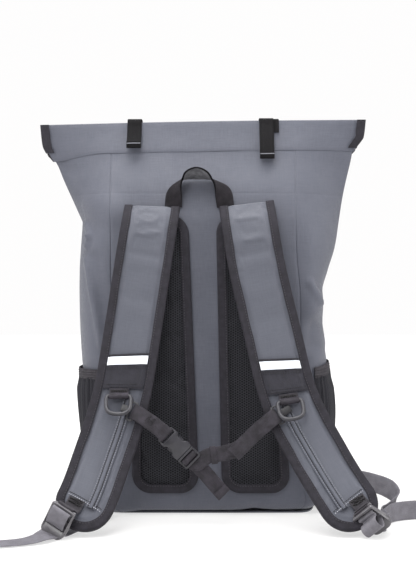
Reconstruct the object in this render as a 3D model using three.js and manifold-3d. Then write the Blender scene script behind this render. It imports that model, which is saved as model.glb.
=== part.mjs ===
// Roll-top dry bag backpack, standing with its mouth unrolled and its harness toward -Y.
// Millimetres, +Z up, origin on the floor under the middle of the base.
import * as THREE from "three";
import { mergeVertices } from "three/addons/utils/BufferGeometryUtils.js";
import Module from "manifold-3d";

const wasm = await Module();
wasm.setup();

// Sheet thicknesses and clearances
const WALL = 1.6;
const GAP = 0.3;
const HEM_PROUD = 0.6;
const HEM_THICK = 2.4;
const TAPE = 1.0;
const WEBBING = 1.4;
const BASE_THICK = 2;

// Bag sections from floor to mouth: y of the back and front panels at their seams, x of the side folds,
// half width of a panel, sideways lean, outward bow of the panels, sharpness of the side fold,
// and the half thickness kept at the fold.
const SECTIONS = [
  { z: 0, back: -64, front: 69, left: -147, right: 149, seam: 121, mid: 0, bow: 1, fold: 0, lip: 0 },
  { z: 5, back: -70, front: 75, left: -154, right: 155, seam: 125, mid: 0, bow: 1, fold: 0, lip: 0 },
  { z: 14, back: -73, front: 78, left: -158, right: 158, seam: 127, mid: 0, bow: 2, fold: 0, lip: 0 },
  { z: 60, back: -75, front: 82, left: -168, right: 164, seam: 127, mid: -1, bow: 3, fold: 0, lip: 0 },
  { z: 130, back: -76, front: 83, left: -174, right: 167, seam: 127, mid: -3, bow: 4, fold: 0, lip: 0 },
  { z: 197, back: -75, front: 82, left: -180, right: 163.5, seam: 127, mid: -5, bow: 4, fold: 0, lip: 0 },
  { z: 247, back: -75, front: 80, left: -183, right: 157.5, seam: 127, mid: -6, bow: 4, fold: 0, lip: 0 },
  { z: 300, back: -75, front: 77, left: -185, right: 156.5, seam: 127, mid: -7, bow: 3, fold: 0, lip: 0 },
  { z: 332, back: -75, front: 72, left: -185.5, right: 165, seam: 126, mid: -9, bow: 3, fold: 0.1, lip: 0 },
  { z: 360, back: -74, front: 67, left: -184, right: 174, seam: 125, mid: -10, bow: 2, fold: 0.2, lip: 0.5 },
  {
    z: 400, back: -70, front: 58, left: -181, right: 181, seam: 125.4,
    mid: -10.6, bow: 2, fold: 0.5, lip: 1.2,
  },
  {
    z: 440, back: -58, front: 42, left: -200, right: 188, seam: 126.4,
    mid: -10.8, bow: 2, fold: 0.8, lip: 2,
  },
  {
    z: 484, back: -36, front: 20, left: -220.5, right: 200.5, seam: 127.6,
    mid: -10.8, bow: 2, fold: 1, lip: 2.8,
  },
  {
    z: 510, back: -26, front: 10, left: -233.5, right: 211, seam: 127.6,
    mid: -10.8, bow: 3, fold: 1, lip: 2.8,
  },
  {
    z: 536, back: -17, front: 1, left: -236.5, right: 214.5, seam: 127.6,
    mid: -10.8, bow: 4, fold: 1, lip: 2.8,
  },
];

// Soft dents and folds of the side gussets: place across (0 back seam, 1 front seam), height,
// half extents and depth (inward is positive).
const GUSSET_FOLDS = [
  { side: -1, at: 0.2, z: 285, wide: 0.09, tall: 55, depth: -3.5 },
  { side: -1, at: 0.42, z: 300, wide: 0.12, tall: 60, depth: 4 },
  { side: 1, at: 0.22, z: 300, wide: 0.12, tall: 45, depth: 5 },
  { side: 1, at: 0.6, z: 285, wide: 0.15, tall: 60, depth: 6 },
  { side: 1, at: 0.45, z: 245, wide: 0.12, tall: 40, depth: -3 },
];
const PANEL_FOLDS = [
  { face: 1, at: -0.4, z: 330, wide: 0.35, tall: 60, depth: 6 },
  { face: 1, at: 0.45, z: 250, wide: 0.3, tall: 70, depth: 5 },
];

const WALL_LEVELS = [
  BASE_THICK + GAP, 7, 14, 60, 130, 197, 247, 300, 332, 360, 380, 400, 420, 440, 464, 489.7,
];
const PANEL_COLUMNS = 6;
const GUSSET_COLUMNS = 10;
const HEM = { top: 536, columns: 20, reach: 1.5 };
const HEM_LEVELS = [490, 500, 510, 523, HEM.top];
const MOUTH_BINDING = { depth: 9, clear: 0.4 };

// Webbing draped over the mouth: height and distance from the panel it lies on
const TOP_STRAP_FRONT = [
  { z: 398, off: 2.2 }, { z: 420, off: 2.2 }, { z: 440, off: 2.4 }, { z: 462, off: 2.6 },
  { z: 484, off: 3.2 }, { z: 510, off: 3.2 }, { z: 533, off: 3 },
];
const TOP_STRAPS = [
  {
    name: "left", x: -106.5, crest: 539.8, corner: { z: 538, off: 2.4 },
    hang: [{ z: 531, off: 3.4 }, { z: 517, off: 6 }, { z: 501, off: 10 }],
  },
  {
    name: "right", x: 77.5, crest: 541.6, corner: { z: 539.8, off: 3.8 },
    hang: [{ z: 531, off: 5 }, { z: 510, off: 8 }, { z: 484, off: 8 }],
  },
];
const TOP_STRAP_WIDTH = 20;
const TOP_TAIL = {
  x: 86, width: 18,
  inside: [{ z: 516, off: -4 }, { z: 533, off: -4 }],
  crest: [{ z: 537.4, off: -3.4 }, { z: 538, off: -1 }, { z: 537.4, off: 1.4 }],
  outside: [{ z: 532, off: 2.1 }, { z: 519, off: 2.4 }],
};

// Grab handle: the edge of its webbing at the panel and the edge held away, each with its distance
// from the panel
const HANDLE_ROWS = [
  { ox: -63.7, oz: 417, ol: 2.2, ix: -37.9, iz: 417, il: 2.2 },
  { ox: -61.1, oz: 433.3, ol: 2.5, ix: -38.4, iz: 433, il: 13 },
  { ox: -50.4, oz: 444.6, ol: 2.5, ix: -37.7, iz: 450.2, il: 24 },
  { ox: -38.2, oz: 453.2, ol: 3, ix: -32.3, iz: 463, il: 30 },
  { ox: -19, oz: 452.5, ol: 3, ix: -20.9, iz: 469.3, il: 32 },
  { ox: 0.1, oz: 453.2, ol: 3, ix: -8.7, iz: 463.8, il: 30 },
  { ox: 13.8, oz: 446, ol: 2.5, ix: -0.6, iz: 452.9, il: 24 },
  { ox: 28.7, oz: 433.3, ol: 2.5, ix: 4.1, iz: 437, il: 13 },
  { ox: 32.6, oz: 418, ol: 2.2, ix: 6.9, iz: 417, il: 2.2 },
];
const HANDLE_THICK = 2.2;

// Back pads: corner positions seen from behind, corner radius, and their cross section
const PADS = [
  { name: "left", bottom: 31, top: 404, outerBottom: -105, outerTop: -104, innerBottom: -17, innerTop: -32 },
  { name: "right", bottom: 31, top: 404, outerBottom: 106, outerTop: 80, innerBottom: 16, innerTop: 8 },
];
const PAD = { radius: 25, cornerSteps: 3, edgeLow: 1.2, lift: 0.6 };
const PAD_ROWS = [100, 165, 230, 290, 330, 356];
const PAD_CROWN = [{ inset: 14.8, high: 4.4 }, { inset: 20, high: 10.5 }, { inset: 33, high: 12.5 }];
const PAD_BINDING = { wide: 10.4, high: 5.7 };

// Side mesh pockets: height and the share of their bulge that each level stands off the gusset
const POCKET_BULGE = [
  { z: 24, left: 0.05, right: 0.05 }, { z: 60, left: 0.4, right: 0.3 }, { z: 95, left: 0.6, right: 0.42 },
  { z: 130, left: 0.7, right: 0.47 }, { z: 165, left: 0.6, right: 0.36 }, { z: 183, left: 0.3, right: 0.12 },
  { z: 206, left: 0.2, right: 0.05 },
];
const POCKET = { bulge: 13, edge: 0.9, wall: 1, bottom: 24, first: 1, last: 9 };
const POCKET_HEMS = { left: { foot: 183, top: 196, rise: 0 }, right: { foot: 184, top: 198, rise: 7 } };
const POCKET_LEVELS = 5;

// Shoulder straps: centre line from the top seam down to the rounded end on the floor
const STRAP_PATHS = {
  left: [
    { x: -79, y: -75.5, z: 416 }, { x: -82, y: -93, z: 392 }, { x: -90, y: -105, z: 338 },
    { x: -102, y: -118, z: 254 }, { x: -117, y: -138, z: 162 }, { x: -138, y: -164, z: 91 },
    { x: -156, y: -194, z: 40 }, { x: -173, y: -212, z: 12 },
  ],
  right: [
    { x: 48.5, y: -75.5, z: 416 }, { x: 51.5, y: -93, z: 392 }, { x: 60, y: -105, z: 338 },
    { x: 79, y: -118, z: 254 }, { x: 102, y: -138, z: 162 }, { x: 138, y: -164, z: 91 },
    { x: 168, y: -194, z: 42 }, { x: 190, y: -212, z: 14 },
  ],
};
const STRAP = { half: 36.2, face: 5, back: 4.4, edge: 2.2, bound: 11.3, full: 17, endSlack: 4.2 };
const STRAP_LEVELS = [0, 25, 50, 85, 120, 160, 204, 221, 252, 283, 310, 335, 360, 385];
const STRAP_END_ANGLES = [0, 22, 42, 57, 70];
const STRAP_BINDING = { wide: 10.7, high: 3.7, side: 1.3, clear: 0.5 };
// The patch and all below it lie aslant on the strap: shift along each strap, and slope against its width
const PATCH = { from: 205, to: 252, thick: 1.2, lift: 0.5, slope: 0.18 };
const PATCH_STEP = 12;
const PATCH_SHIFT = { left: 2.5, right: 10.8 };
const REFLECTOR = { from: 208.5, to: 219.5, thick: 0.7 };
const RAIL = { belowRing: 6.5, to: 402, inward: 10, lift: 0.5, radius: 1.6, sides: 6, steps: 12 };
const KEEPER = { inner: 2.7, outer: 4, raise: 1.7, tail: 8, width: 25, turn: 12 };
const KEEPER_PLACES = { left: { along: 265.5, outward: 2 }, right: { along: 274, outward: -3 } };
const D_RING = { wire: 2.2, sides: 8, tilt: 20 };
const D_RING_LOOP = [
  { a: -13, h: 0 }, { a: 0, h: 0 }, { a: 13, h: 0 }, { a: 15.6, h: -2.8 }, { a: 15.5, h: -10 },
  { a: 13.4, h: -17.6 }, { a: 8, h: -24 }, { a: 0, h: -26.3 }, { a: -8, h: -24 }, { a: -13.4, h: -17.6 },
  { a: -15.5, h: -10 }, { a: -15.6, h: -2.8 },
];

// Sternum strap: sliders on the rails, a fastened side-release buckle, and the webbing between
const SLIDER = {
  turn: 8, length: 26, clip: 9, clipHalf: 5.2, channel: 4.1, low: -1.2, roof: 1.9, top: 3.5,
  bar: 1.6, slot: 4.4, rim: 1.8, slotHalf: 11,
};
const SLIDER_PLACES = { left: { along: 279.5, reach: 13 }, right: { along: 283, reach: 17 } };
const STERNUM_WIDTH = 20;
const BUCKLE = {
  at: [-60, -151, 119.6], axis: [0.714, 0, -0.7], half: 13, bar: 3.4, slot: 8, body: 36, height: 4.2,
  thin: 1.2, slotHalf: 10.8, windowFrom: 13, windowTo: 25, windowDepth: 4.5, pocketHalf: 11.4,
  pocketHeight: 2.6, pocketFrom: 14,
};
const BUCKLE_MALE = {
  from: 36.4, slotA: 39.4, barA: 43.8, barB: 46.2, slotB: 50.4, to: 53, height: 3.6, slotHalf: 10.8,
  prongTo: 17, prongHalf: 11, prongThick: 3.2, prongHeight: 2.2, tongueHalf: 3,
};
const STERNUM_MIDDLE = [
  { x: 56, z: 122 }, { x: 37, z: 103.5 }, { x: 27, z: 97 }, { x: 10, z: 92.6 }, { x: -3.5, z: 90.4 },
];
const STERNUM_DEPTH = -149;
const STERNUM_TAIL_END = [{ x: -6, z: 66 }, { x: 5, z: 53 }, { x: 16.2, z: 40.6 }];
const STERNUM_KEEPER = { x: -3.5, z: 90.4, width: 6, thick: 1, half: 11.2 };

// Ladder locks at the strap ends, and the lower webbing threaded through them
const LADDER = { half: 16.5, thick: 2, ends: [-17, 17], slots: [[-12, -3, 13.4], [2, 11, 12.9]], corner: 4 };
const LADDER_PLACES = {
  left: { at: [-186, -220, 26], along: [-0.52, -0.52, -0.67], across: [0.81, -0.26, -0.43] },
  right: { at: [199, -221, 28], along: [0.62, -0.42, -0.66], across: [0.75, 0.1, 0.65] },
};
const LOWER_WIDTH = 25;
const TAB = { width: 22, from: 46, outward: 12 };
const TAB_HOOK = [
  [-19, 3.4], [-12.2, 3.4], [-10.6, 2.5], [-10.1, 0], [-10.6, -2.5], [-12.2, -3.4], [-17, -3.4],
];
const THREADING = {
  left: [
    [18, -6], [8, -5.6], [-1, -5], [-5, -3.2], [-5.6, -1], [-5.2, 1.6], [-3.6, 3.4], [-0.5, 3.9], [2.2, 3.4],
    [4, 1.6], [4.6, -0.6], [6.6, -2.7], [11, -3.3], [18, -3.3],
  ],
  right: [
    [19, -7.4], [9, -5.9], [-1, -5], [-5, -3.2], [-5.6, -1], [-5.2, 1.6], [-3.6, 4.2], [0, 8], [6, 11.5],
    [12, 12], [15.5, 9.4], [14.6, 6.4], [10.4, 4], [7, 1.6], [6, -1], [7.4, -3], [11, -3.3], [18, -3.3],
  ],
};
// Free webbing on either side of a ladder lock: position and turn of its width (0 flat, 90 on edge)
const LOWER_ANCHORED = {
  left: [
    { x: -140, y: -79, z: 20, turn: 0 }, { x: -152, y: -105, z: 15, turn: 0 },
    { x: -180, y: -150, z: 6, turn: 0 }, { x: -208, y: -192, z: 3, turn: 0 },
    { x: -207, y: -224, z: 7, turn: 8 },
  ],
  right: [
    { x: 150, y: -74, z: 50, turn: 90 }, { x: 172, y: -90, z: 53, turn: 90 },
    { x: 203, y: -114, z: 54, turn: 86 }, { x: 224, y: -142, z: 49, turn: 76 },
    { x: 234, y: -170, z: 41, turn: 66 }, { x: 233, y: -194, z: 30, turn: 62 },
    { x: 224, y: -212, z: 19, turn: 60 },
  ],
};
const LOWER_TAILS = {
  left: [
    { x: -206, y: -241, z: 6.5, turn: -6 }, { x: -222, y: -246, z: 2, turn: 0 },
    { x: -245, y: -248, z: 1.2, turn: 0 }, { x: -272, y: -248, z: 1.2, turn: 0 },
  ],
  right: [
    { x: 217, y: -227, z: 12, turn: 52 }, { x: 225, y: -212, z: 13, turn: 72 },
    { x: 230, y: -190, z: 13.5, turn: 84 }, { x: 237, y: -160, z: 13.5, turn: 90 },
    { x: 252, y: -134, z: 13.2, turn: 90 }, { x: 275, y: -112, z: 13, turn: 90 },
  ],
};

const MATERIALS = {
  coated_fabric: { color: 0x74767f, roughness: 0.62, metalness: 0 },
  binding_tape: { color: 0x3d383a, roughness: 0.85, metalness: 0 },
  webbing: { color: 0x47464a, roughness: 0.8, metalness: 0 },
  mesh: { color: 0x2c2b2e, roughness: 0.9, metalness: 0 },
  hardware: { color: 0x55555a, roughness: 0.45, metalness: 0 },
  reflective: { color: 0xe4e4e6, roughness: 0.4, metalness: 0 },
};

const BACK = -1;
const FRONT = 1;
const SIDES = { left: -1, right: 1 };
const DOWN_AXIS = new THREE.Vector3(0, 0, 1);

function vec(x, y, z) {
  return new THREE.Vector3(x, y, z);
}

// Shape-keeping cubic through one named column of a table
function column(table, key, name) {
  const xs = table.map((row) => row[key]);
  const ys = table.map((row) => row[name]);
  const last = xs.length - 1;
  const rise = xs.slice(1).map((x, i) => (ys[i + 1] - ys[i]) / (x - xs[i]));
  const slope = ys.map((_, i) => {
    if (i === 0) return rise[0];
    if (i === last) return rise[last - 1];
    const before = rise[i - 1];
    const after = rise[i];
    return before * after <= 0 ? 0 : (2 * before * after) / (before + after);
  });
  return (at) => {
    const x = Math.min(Math.max(at, xs[0]), xs[last]);
    let i = 0;
    while (i < last - 1 && x > xs[i + 1]) i += 1;
    const h = xs[i + 1] - xs[i];
    const t = (x - xs[i]) / h;
    const keep = (1 + 2 * t) * (1 - t) ** 2 * ys[i] + (3 - 2 * t) * t * t * ys[i + 1];
    return keep + h * t * (1 - t) * ((1 - t) * slope[i] - t * slope[i + 1]);
  };
}

const sectionColumns = Object.fromEntries(
  Object.keys(SECTIONS[0]).map((name) => [name, column(SECTIONS, "z", name)]),
);

function sectionAt(z) {
  return Object.fromEntries(Object.entries(sectionColumns).map(([name, at]) => [name, at(z)]));
}

function mix(a, b, t) {
  return a + (b - a) * t;
}

function hump(distance, reach) {
  const t = Math.abs(distance) / reach;
  return t >= 1 ? 0 : Math.cos((t * Math.PI) / 2) ** 2;
}

// A closed solid from points and polygons, turned so that its faces point out
function solid(points, polygons) {
  const triangles = polygons.flatMap(([first, ...rest]) => rest.slice(1).map((p, i) => [first, rest[i], p]));
  const volume = triangles.reduce((sum, [a, b, c]) => {
    return sum + points[a].dot(points[b].clone().cross(points[c]));
  }, 0);
  const facing = volume < 0 ? triangles.map(([a, b, c]) => [a, c, b]) : triangles;
  const geometry = new THREE.BufferGeometry();
  geometry.setAttribute("position", new THREE.Float32BufferAttribute(points.flatMap((p) => p.toArray()), 3));
  geometry.setIndex(facing.flat());
  geometry.computeVertexNormals();
  return geometry;
}

// A sheet with thickness: two grids of points joined along their four rims
function sheet(front, back) {
  const rows = front.length;
  const columns = front[0].length;
  const points = [...front.flat(), ...back.flat()];
  const f = (i, j) => i * columns + j;
  const b = (i, j) => rows * columns + i * columns + j;
  const polygons = [];
  for (let i = 0; i < rows - 1; i += 1) {
    for (let j = 0; j < columns - 1; j += 1) {
      polygons.push([f(i, j), f(i, j + 1), f(i + 1, j + 1), f(i + 1, j)]);
      polygons.push([b(i, j), b(i + 1, j), b(i + 1, j + 1), b(i, j + 1)]);
    }
    const end = columns - 1;
    polygons.push([f(i, 0), f(i + 1, 0), b(i + 1, 0), b(i, 0)]);
    polygons.push([f(i + 1, end), f(i, end), b(i, end), b(i + 1, end)]);
  }
  for (let j = 0; j < columns - 1; j += 1) {
    const end = rows - 1;
    polygons.push([f(0, j + 1), f(0, j), b(0, j), b(0, j + 1)]);
    polygons.push([f(end, j), f(end, j + 1), b(end, j + 1), b(end, j)]);
  }
  return solid(points, polygons);
}

// A ring of points carried from station to station, capped at both ends unless it closes on itself
function loft(rings, contour, closed = false) {
  const count = rings[0].length;
  const points = rings.flat();
  const polygons = [];
  const spans = closed ? rings.length : rings.length - 1;
  for (let i = 0; i < spans; i += 1) {
    const next = (i + 1) % rings.length;
    for (let k = 0; k < count; k += 1) {
      const m = (k + 1) % count;
      polygons.push([i * count + k, i * count + m, next * count + m, next * count + k]);
    }
  }
  if (!closed) {
    const base = (rings.length - 1) * count;
    for (const [a, b, c] of THREE.ShapeUtils.triangulateShape(contour, [])) {
      polygons.push([c, b, a]);
      polygons.push([base + a, base + b, base + c]);
    }
  }
  return solid(points, polygons);
}

function turnedLeft(profile) {
  const contour = profile.map(([a, b]) => new THREE.Vector2(a, b));
  return THREE.ShapeUtils.area(contour) < 0 ? contour.reverse() : contour;
}

// A profile (across, out) swept along frames
function sweep(profile, frames, closed = false) {
  const contour = turnedLeft(profile);
  const rings = frames.map((frame) => contour.map((p) => offset(frame, p.x, p.y)));
  return loft(rings, contour, closed);
}

function offset(frame, across, out) {
  return frame.at.clone().addScaledVector(frame.across, across).addScaledVector(frame.out, out);
}

function rectangle(width, thick) {
  return [[-width / 2, -thick / 2], [width / 2, -thick / 2], [width / 2, thick / 2], [-width / 2, thick / 2]];
}

function polygonSection(radius, sides) {
  return Array.from({ length: sides }, (_, k) => {
    const angle = (2 * Math.PI * (k + 0.5)) / sides;
    return [radius * Math.cos(angle), radius * Math.sin(angle)];
  });
}

// Frames for stations { at, across }, square to the path through them
function framesAlong(stations, closed = false) {
  const count = stations.length;
  return stations.map((station, i) => {
    const before = closed ? stations[(i + count - 1) % count] : stations[Math.max(i - 1, 0)];
    const after = closed ? stations[(i + 1) % count] : stations[Math.min(i + 1, count - 1)];
    const inward = station.at.clone().sub(before.at).normalize();
    const outward = after.at.clone().sub(station.at).normalize();
    const along = inward.add(outward).normalize();
    const across = station.across.clone().addScaledVector(along, -station.across.dot(along)).normalize();
    return { at: station.at, along, across, out: along.clone().cross(across) };
  });
}

function ribbon(stations, width, thick) {
  return sweep(rectangle(width, thick), framesAlong(stations));
}

function toManifold(geometry) {
  const bare = geometry.clone();
  bare.deleteAttribute("normal");
  bare.deleteAttribute("uv");
  const merged = mergeVertices(bare, 1e-4);
  const mesh = new wasm.Mesh({
    numProp: 3,
    vertProperties: new Float32Array(merged.attributes.position.array),
    triVerts: new Uint32Array(merged.index.array),
  });
  return new wasm.Manifold(mesh);
}

function fromManifold(body) {
  const mesh = body.getMesh();
  const geometry = new THREE.BufferGeometry();
  geometry.setAttribute("position", new THREE.Float32BufferAttribute(mesh.vertProperties, 3));
  geometry.setIndex(Array.from(mesh.triVerts));
  geometry.computeVertexNormals();
  return geometry;
}

function box([x0, x1], [y0, y1], [z0, z1]) {
  const geometry = new THREE.BoxGeometry(x1 - x0, y1 - y0, z1 - z0);
  return geometry.translate((x0 + x1) / 2, (y0 + y1) / 2, (z0 + z1) / 2);
}

// Boxes joined into one body and boxes cut out of it
function boxwork(joined, cut) {
  let body = toManifold(joined[0]);
  for (const piece of joined.slice(1)) body = body.add(toManifold(piece));
  for (const piece of cut) body = body.subtract(toManifold(piece));
  return fromManifold(body);
}

const bag = new THREE.Group();

function addPiece(name, geometry, material, frame) {
  const piece = new THREE.Mesh(geometry, new THREE.MeshStandardMaterial(MATERIALS[material]));
  piece.name = name;
  if (frame) {
    const turn = new THREE.Matrix4().makeBasis(frame.along, frame.across, frame.out);
    piece.applyMatrix4(turn.setPosition(frame.at));
  }
  bag.add(piece);
  return piece;
}

// Bag surfaces: a panel from its left seam (-1) to its right seam (1), a gusset from back (0) to front (1)
function panelPoint(face, t, z, inset) {
  const s = sectionAt(z);
  const reach = Math.max(0, 1 - t * t);
  let push = -inset + s.bow * reach;
  for (const fold of PANEL_FOLDS) {
    if (fold.face !== face) continue;
    push -= fold.depth * reach * hump(t - fold.at, fold.wide) * hump(z - fold.z, fold.tall);
  }
  const y = face === BACK ? s.back - push : s.front + push;
  return vec(s.mid + t * s.seam, y, z);
}

function gussetPoint(side, q, z, inset) {
  const s = sectionAt(z);
  const reach = Math.abs((side > 0 ? s.right : s.left) - s.mid) - s.seam;
  const half = (s.front - s.back) / 2 - inset;
  const angle = Math.PI * (q - 0.5);
  const roundOut = Math.max(0, Math.cos(angle)) ** 0.75;
  const roundDeep = Math.sign(angle) * Math.abs(Math.sin(angle)) ** 0.85;
  const sharpOut = 1 - Math.abs(2 * q - 1);
  const out = mix(roundOut, sharpOut, s.fold);
  const deep = mix(roundDeep, 2 * q - 1, s.fold);
  const bevel = mix(1, Math.min(4, Math.hypot(1, reach / half)), s.fold);
  const lip = Math.max(0, s.lip - inset);
  const depth = Math.sign(deep) * (lip + (half - lip) * Math.abs(deep));
  const away = s.seam + (reach - inset * bevel) * out;
  const point = vec(s.mid + side * away, (s.back + s.front) / 2 + depth, z);
  for (const fold of GUSSET_FOLDS) {
    if (fold.side !== side) continue;
    const near = hump(q - fold.at, fold.wide) * hump(z - fold.z, fold.tall);
    const size = fold.depth * Math.sin(Math.PI * q) * near;
    point.addScaledVector(vec(side * out, deep, 0).normalize(), -size);
  }
  return point;
}

// One lip of the mouth: the panel and the half of each gusset that folds against it
function lipPoint(face, u, z, inset) {
  if (Math.abs(u) <= 1) return panelPoint(face, u, z, inset);
  const side = Math.sign(u);
  const nearFold = Math.min(Math.abs(u) - 1, HEM.reach - 1 - 1e-6);
  const point = gussetPoint(side, face === BACK ? nearFold : 1 - nearFold, z, inset);
  const plain = gussetPoint(side, face === BACK ? nearFold : 1 - nearFold, z, 0);
  return vec(plain.x, point.y, z);
}

function backY(x, z) {
  const s = sectionAt(z);
  return panelPoint(BACK, (x - s.mid) / s.seam, z, 0).y;
}

function frontY(x, z) {
  const s = sectionAt(z);
  return panelPoint(FRONT, (x - s.mid) / s.seam, z, 0).y;
}

function steps(from, to, count) {
  return Array.from({ length: count + 1 }, (_, i) => mix(from, to, i / count));
}

function addWalls() {
  const seamTurn = GAP / 2 / SECTIONS[3].seam;
  const panelStops = steps(-1 + seamTurn, 1 - seamTurn, PANEL_COLUMNS);
  const gussetStops = steps(0, 1, GUSSET_COLUMNS).map((q) => Math.min(Math.max(q, 0.004), 0.996));
  for (const [name, face] of [["back_panel", BACK], ["front_panel", FRONT]]) {
    const grid = (inset) => WALL_LEVELS.map((z) => panelStops.map((t) => panelPoint(face, t, z, inset)));
    addPiece(name, sheet(grid(0), grid(WALL)), "coated_fabric");
  }
  for (const [name, side] of Object.entries(SIDES)) {
    const grid = (inset) => WALL_LEVELS.map((z) => gussetStops.map((q) => gussetPoint(side, q, z, inset)));
    addPiece(`side_gusset_${name}`, sheet(grid(0), grid(WALL)), "coated_fabric");
  }
  const outline = (z) => [
    ...steps(-1, 1, PANEL_COLUMNS).slice(0, -1).map((t) => panelPoint(BACK, t, z, 0)),
    ...steps(0, 1, GUSSET_COLUMNS).slice(0, -1).map((q) => gussetPoint(1, q, z, 0)),
    ...steps(1, -1, PANEL_COLUMNS).slice(0, -1).map((t) => panelPoint(FRONT, t, z, 0)),
    ...steps(1, 0, GUSSET_COLUMNS).slice(0, -1).map((q) => gussetPoint(-1, q, z, 0)),
  ];
  const rings = [outline(0), outline(BASE_THICK)];
  const contour = rings[0].map((p) => new THREE.Vector2(p.x, p.y));
  addPiece("base_panel", loft(rings, contour), "coated_fabric");
}

function addMouth() {
  const stops = steps(-HEM.reach, HEM.reach, HEM.columns);
  for (const [name, face] of [["mouth_hem_back", BACK], ["mouth_hem_front", FRONT]]) {
    const grid = (inset) => HEM_LEVELS.map((z) => stops.map((u) => lipPoint(face, u, z, inset)));
    addPiece(name, sheet(grid(-HEM_PROUD), grid(HEM_THICK - HEM_PROUD)), "coated_fabric");
  }
  const b = MOUTH_BINDING;
  const lastStop = HEM.reach - (2 * HEM.reach) / HEM.columns;
  for (const [name, side] of Object.entries(SIDES)) {
    const ends = HEM_LEVELS.slice(1).map((z) => {
      const end = lipPoint(BACK, side * HEM.reach, z, -HEM_PROUD);
      const before = lipPoint(BACK, side * lastStop, z, -HEM_PROUD);
      const s = sectionAt(z);
      const middle = (s.back + s.front) / 2;
      const half = middle - end.y + b.clear;
      const wide = half + ((end.y - before.y) * b.depth) / Math.abs(end.x - before.x);
      const profile = [
        [-GAP - TAPE, -half - TAPE], [b.depth, -wide - TAPE], [b.depth, -wide], [-GAP, -half],
        [-GAP, half], [b.depth, wide], [b.depth, wide + TAPE], [-GAP - TAPE, half + TAPE],
      ];
      const frame = { at: vec(end.x, middle, z), across: vec(-side, 0, 0), out: vec(0, 1, 0) };
      return { profile: turnedLeft(profile), frame };
    });
    const rings = ends.map(({ profile, frame }) => profile.map((p) => offset(frame, p.x, p.y)));
    addPiece(`mouth_binding_${name}`, loft(rings, ends[0].profile), "binding_tape");
  }
}

function addTopStraps() {
  const sideways = vec(1, 0, 0);
  for (const strap of TOP_STRAPS) {
    const at = (y, z) => ({ at: vec(strap.x, y, z), across: sideways });
    const stations = [
      ...TOP_STRAP_FRONT.map(({ z, off }) => at(frontY(strap.x, z) + off, z)),
      at(frontY(strap.x, HEM.top) + strap.corner.off, strap.corner.z),
      at(frontY(strap.x, HEM.top) - 1, strap.crest),
      at(backY(strap.x, HEM.top) + 1, strap.crest),
      at(backY(strap.x, HEM.top) - strap.corner.off, strap.corner.z),
      ...strap.hang.map(({ z, off }) => at(backY(strap.x, z) - off, z)),
    ];
    addPiece(`top_strap_${strap.name}`, ribbon(stations, TOP_STRAP_WIDTH, WEBBING), "webbing");
  }
  const t = TOP_TAIL;
  const stop = (y, z) => ({ at: vec(t.x, y, z), across: sideways });
  const stations = [
    ...t.inside.map(({ z, off }) => stop(backY(t.x, z) - off, z)),
    ...t.crest.map(({ z, off }) => stop(backY(t.x, HEM.top) - off, z)),
    ...t.outside.map(({ z, off }) => stop(backY(t.x, z) - off, z)),
  ];
  addPiece("top_strap_tail_right", ribbon(stations, t.width, WEBBING), "webbing");
}

function addHandle() {
  const edge = (x, z, lift) => vec(x, backY(x, z) - lift, z);
  const outer = HANDLE_ROWS.map((r) => edge(r.ox, r.oz, r.ol));
  const inner = HANDLE_ROWS.map((r) => edge(r.ix, r.iz, r.il));
  const stations = outer.map((p, i) => {
    return { at: p.clone().lerp(inner[i], 0.5), across: inner[i].clone().sub(p) };
  });
  const frames = framesAlong(stations);
  const rings = frames.map((frame, i) => {
    const half = outer[i].distanceTo(inner[i]) / 2;
    return rectangle(2 * half, HANDLE_THICK).map(([a, b]) => offset(frame, a, b));
  });
  const contour = turnedLeft(rectangle(2, 1));
  addPiece("grab_handle", loft(rings, contour), "webbing");
}

// Turns of a rounded pad corner, from square to the end to square to the side
function cornerAngles() {
  return steps(0, Math.PI / 2, PAD.cornerSteps);
}

function padSide(pad, which, z) {
  const t = (z - pad.bottom) / (pad.top - pad.bottom);
  return mix(pad[`${which}Bottom`], pad[`${which}Top`], t);
}

// Rows of a pad from bottom to top, with the cut that its rounded corners make into each side
function padRows(pad) {
  const low = cornerAngles().map((angle) => {
    const z = pad.bottom + PAD.radius * (1 - Math.cos(angle));
    return { z, cut: PAD.radius * (1 - Math.sin(angle)), angle, end: -1 };
  });
  const high = cornerAngles().reverse().map((angle) => {
    const z = pad.top - PAD.radius * (1 - Math.cos(angle));
    return { z, cut: PAD.radius * (1 - Math.sin(angle)), angle, end: 1 };
  });
  const straight = PAD_ROWS.map((z) => ({ z, cut: 0, angle: Math.PI / 2, end: 1 }));
  return [...low, ...straight, ...high];
}

// One side of the outline, bottom to top: position and outward direction of each stop
function padEdge(pad, which) {
  const other = which === "inner" ? "outer" : "inner";
  const away = Math.sign(padSide(pad, which, pad.bottom) - padSide(pad, other, pad.bottom));
  return padRows(pad).map(({ z, cut, angle, end }) => {
    const x = padSide(pad, which, z) - away * cut;
    return { x, z, nx: away * Math.sin(angle), nz: end * Math.cos(angle) };
  });
}

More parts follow.
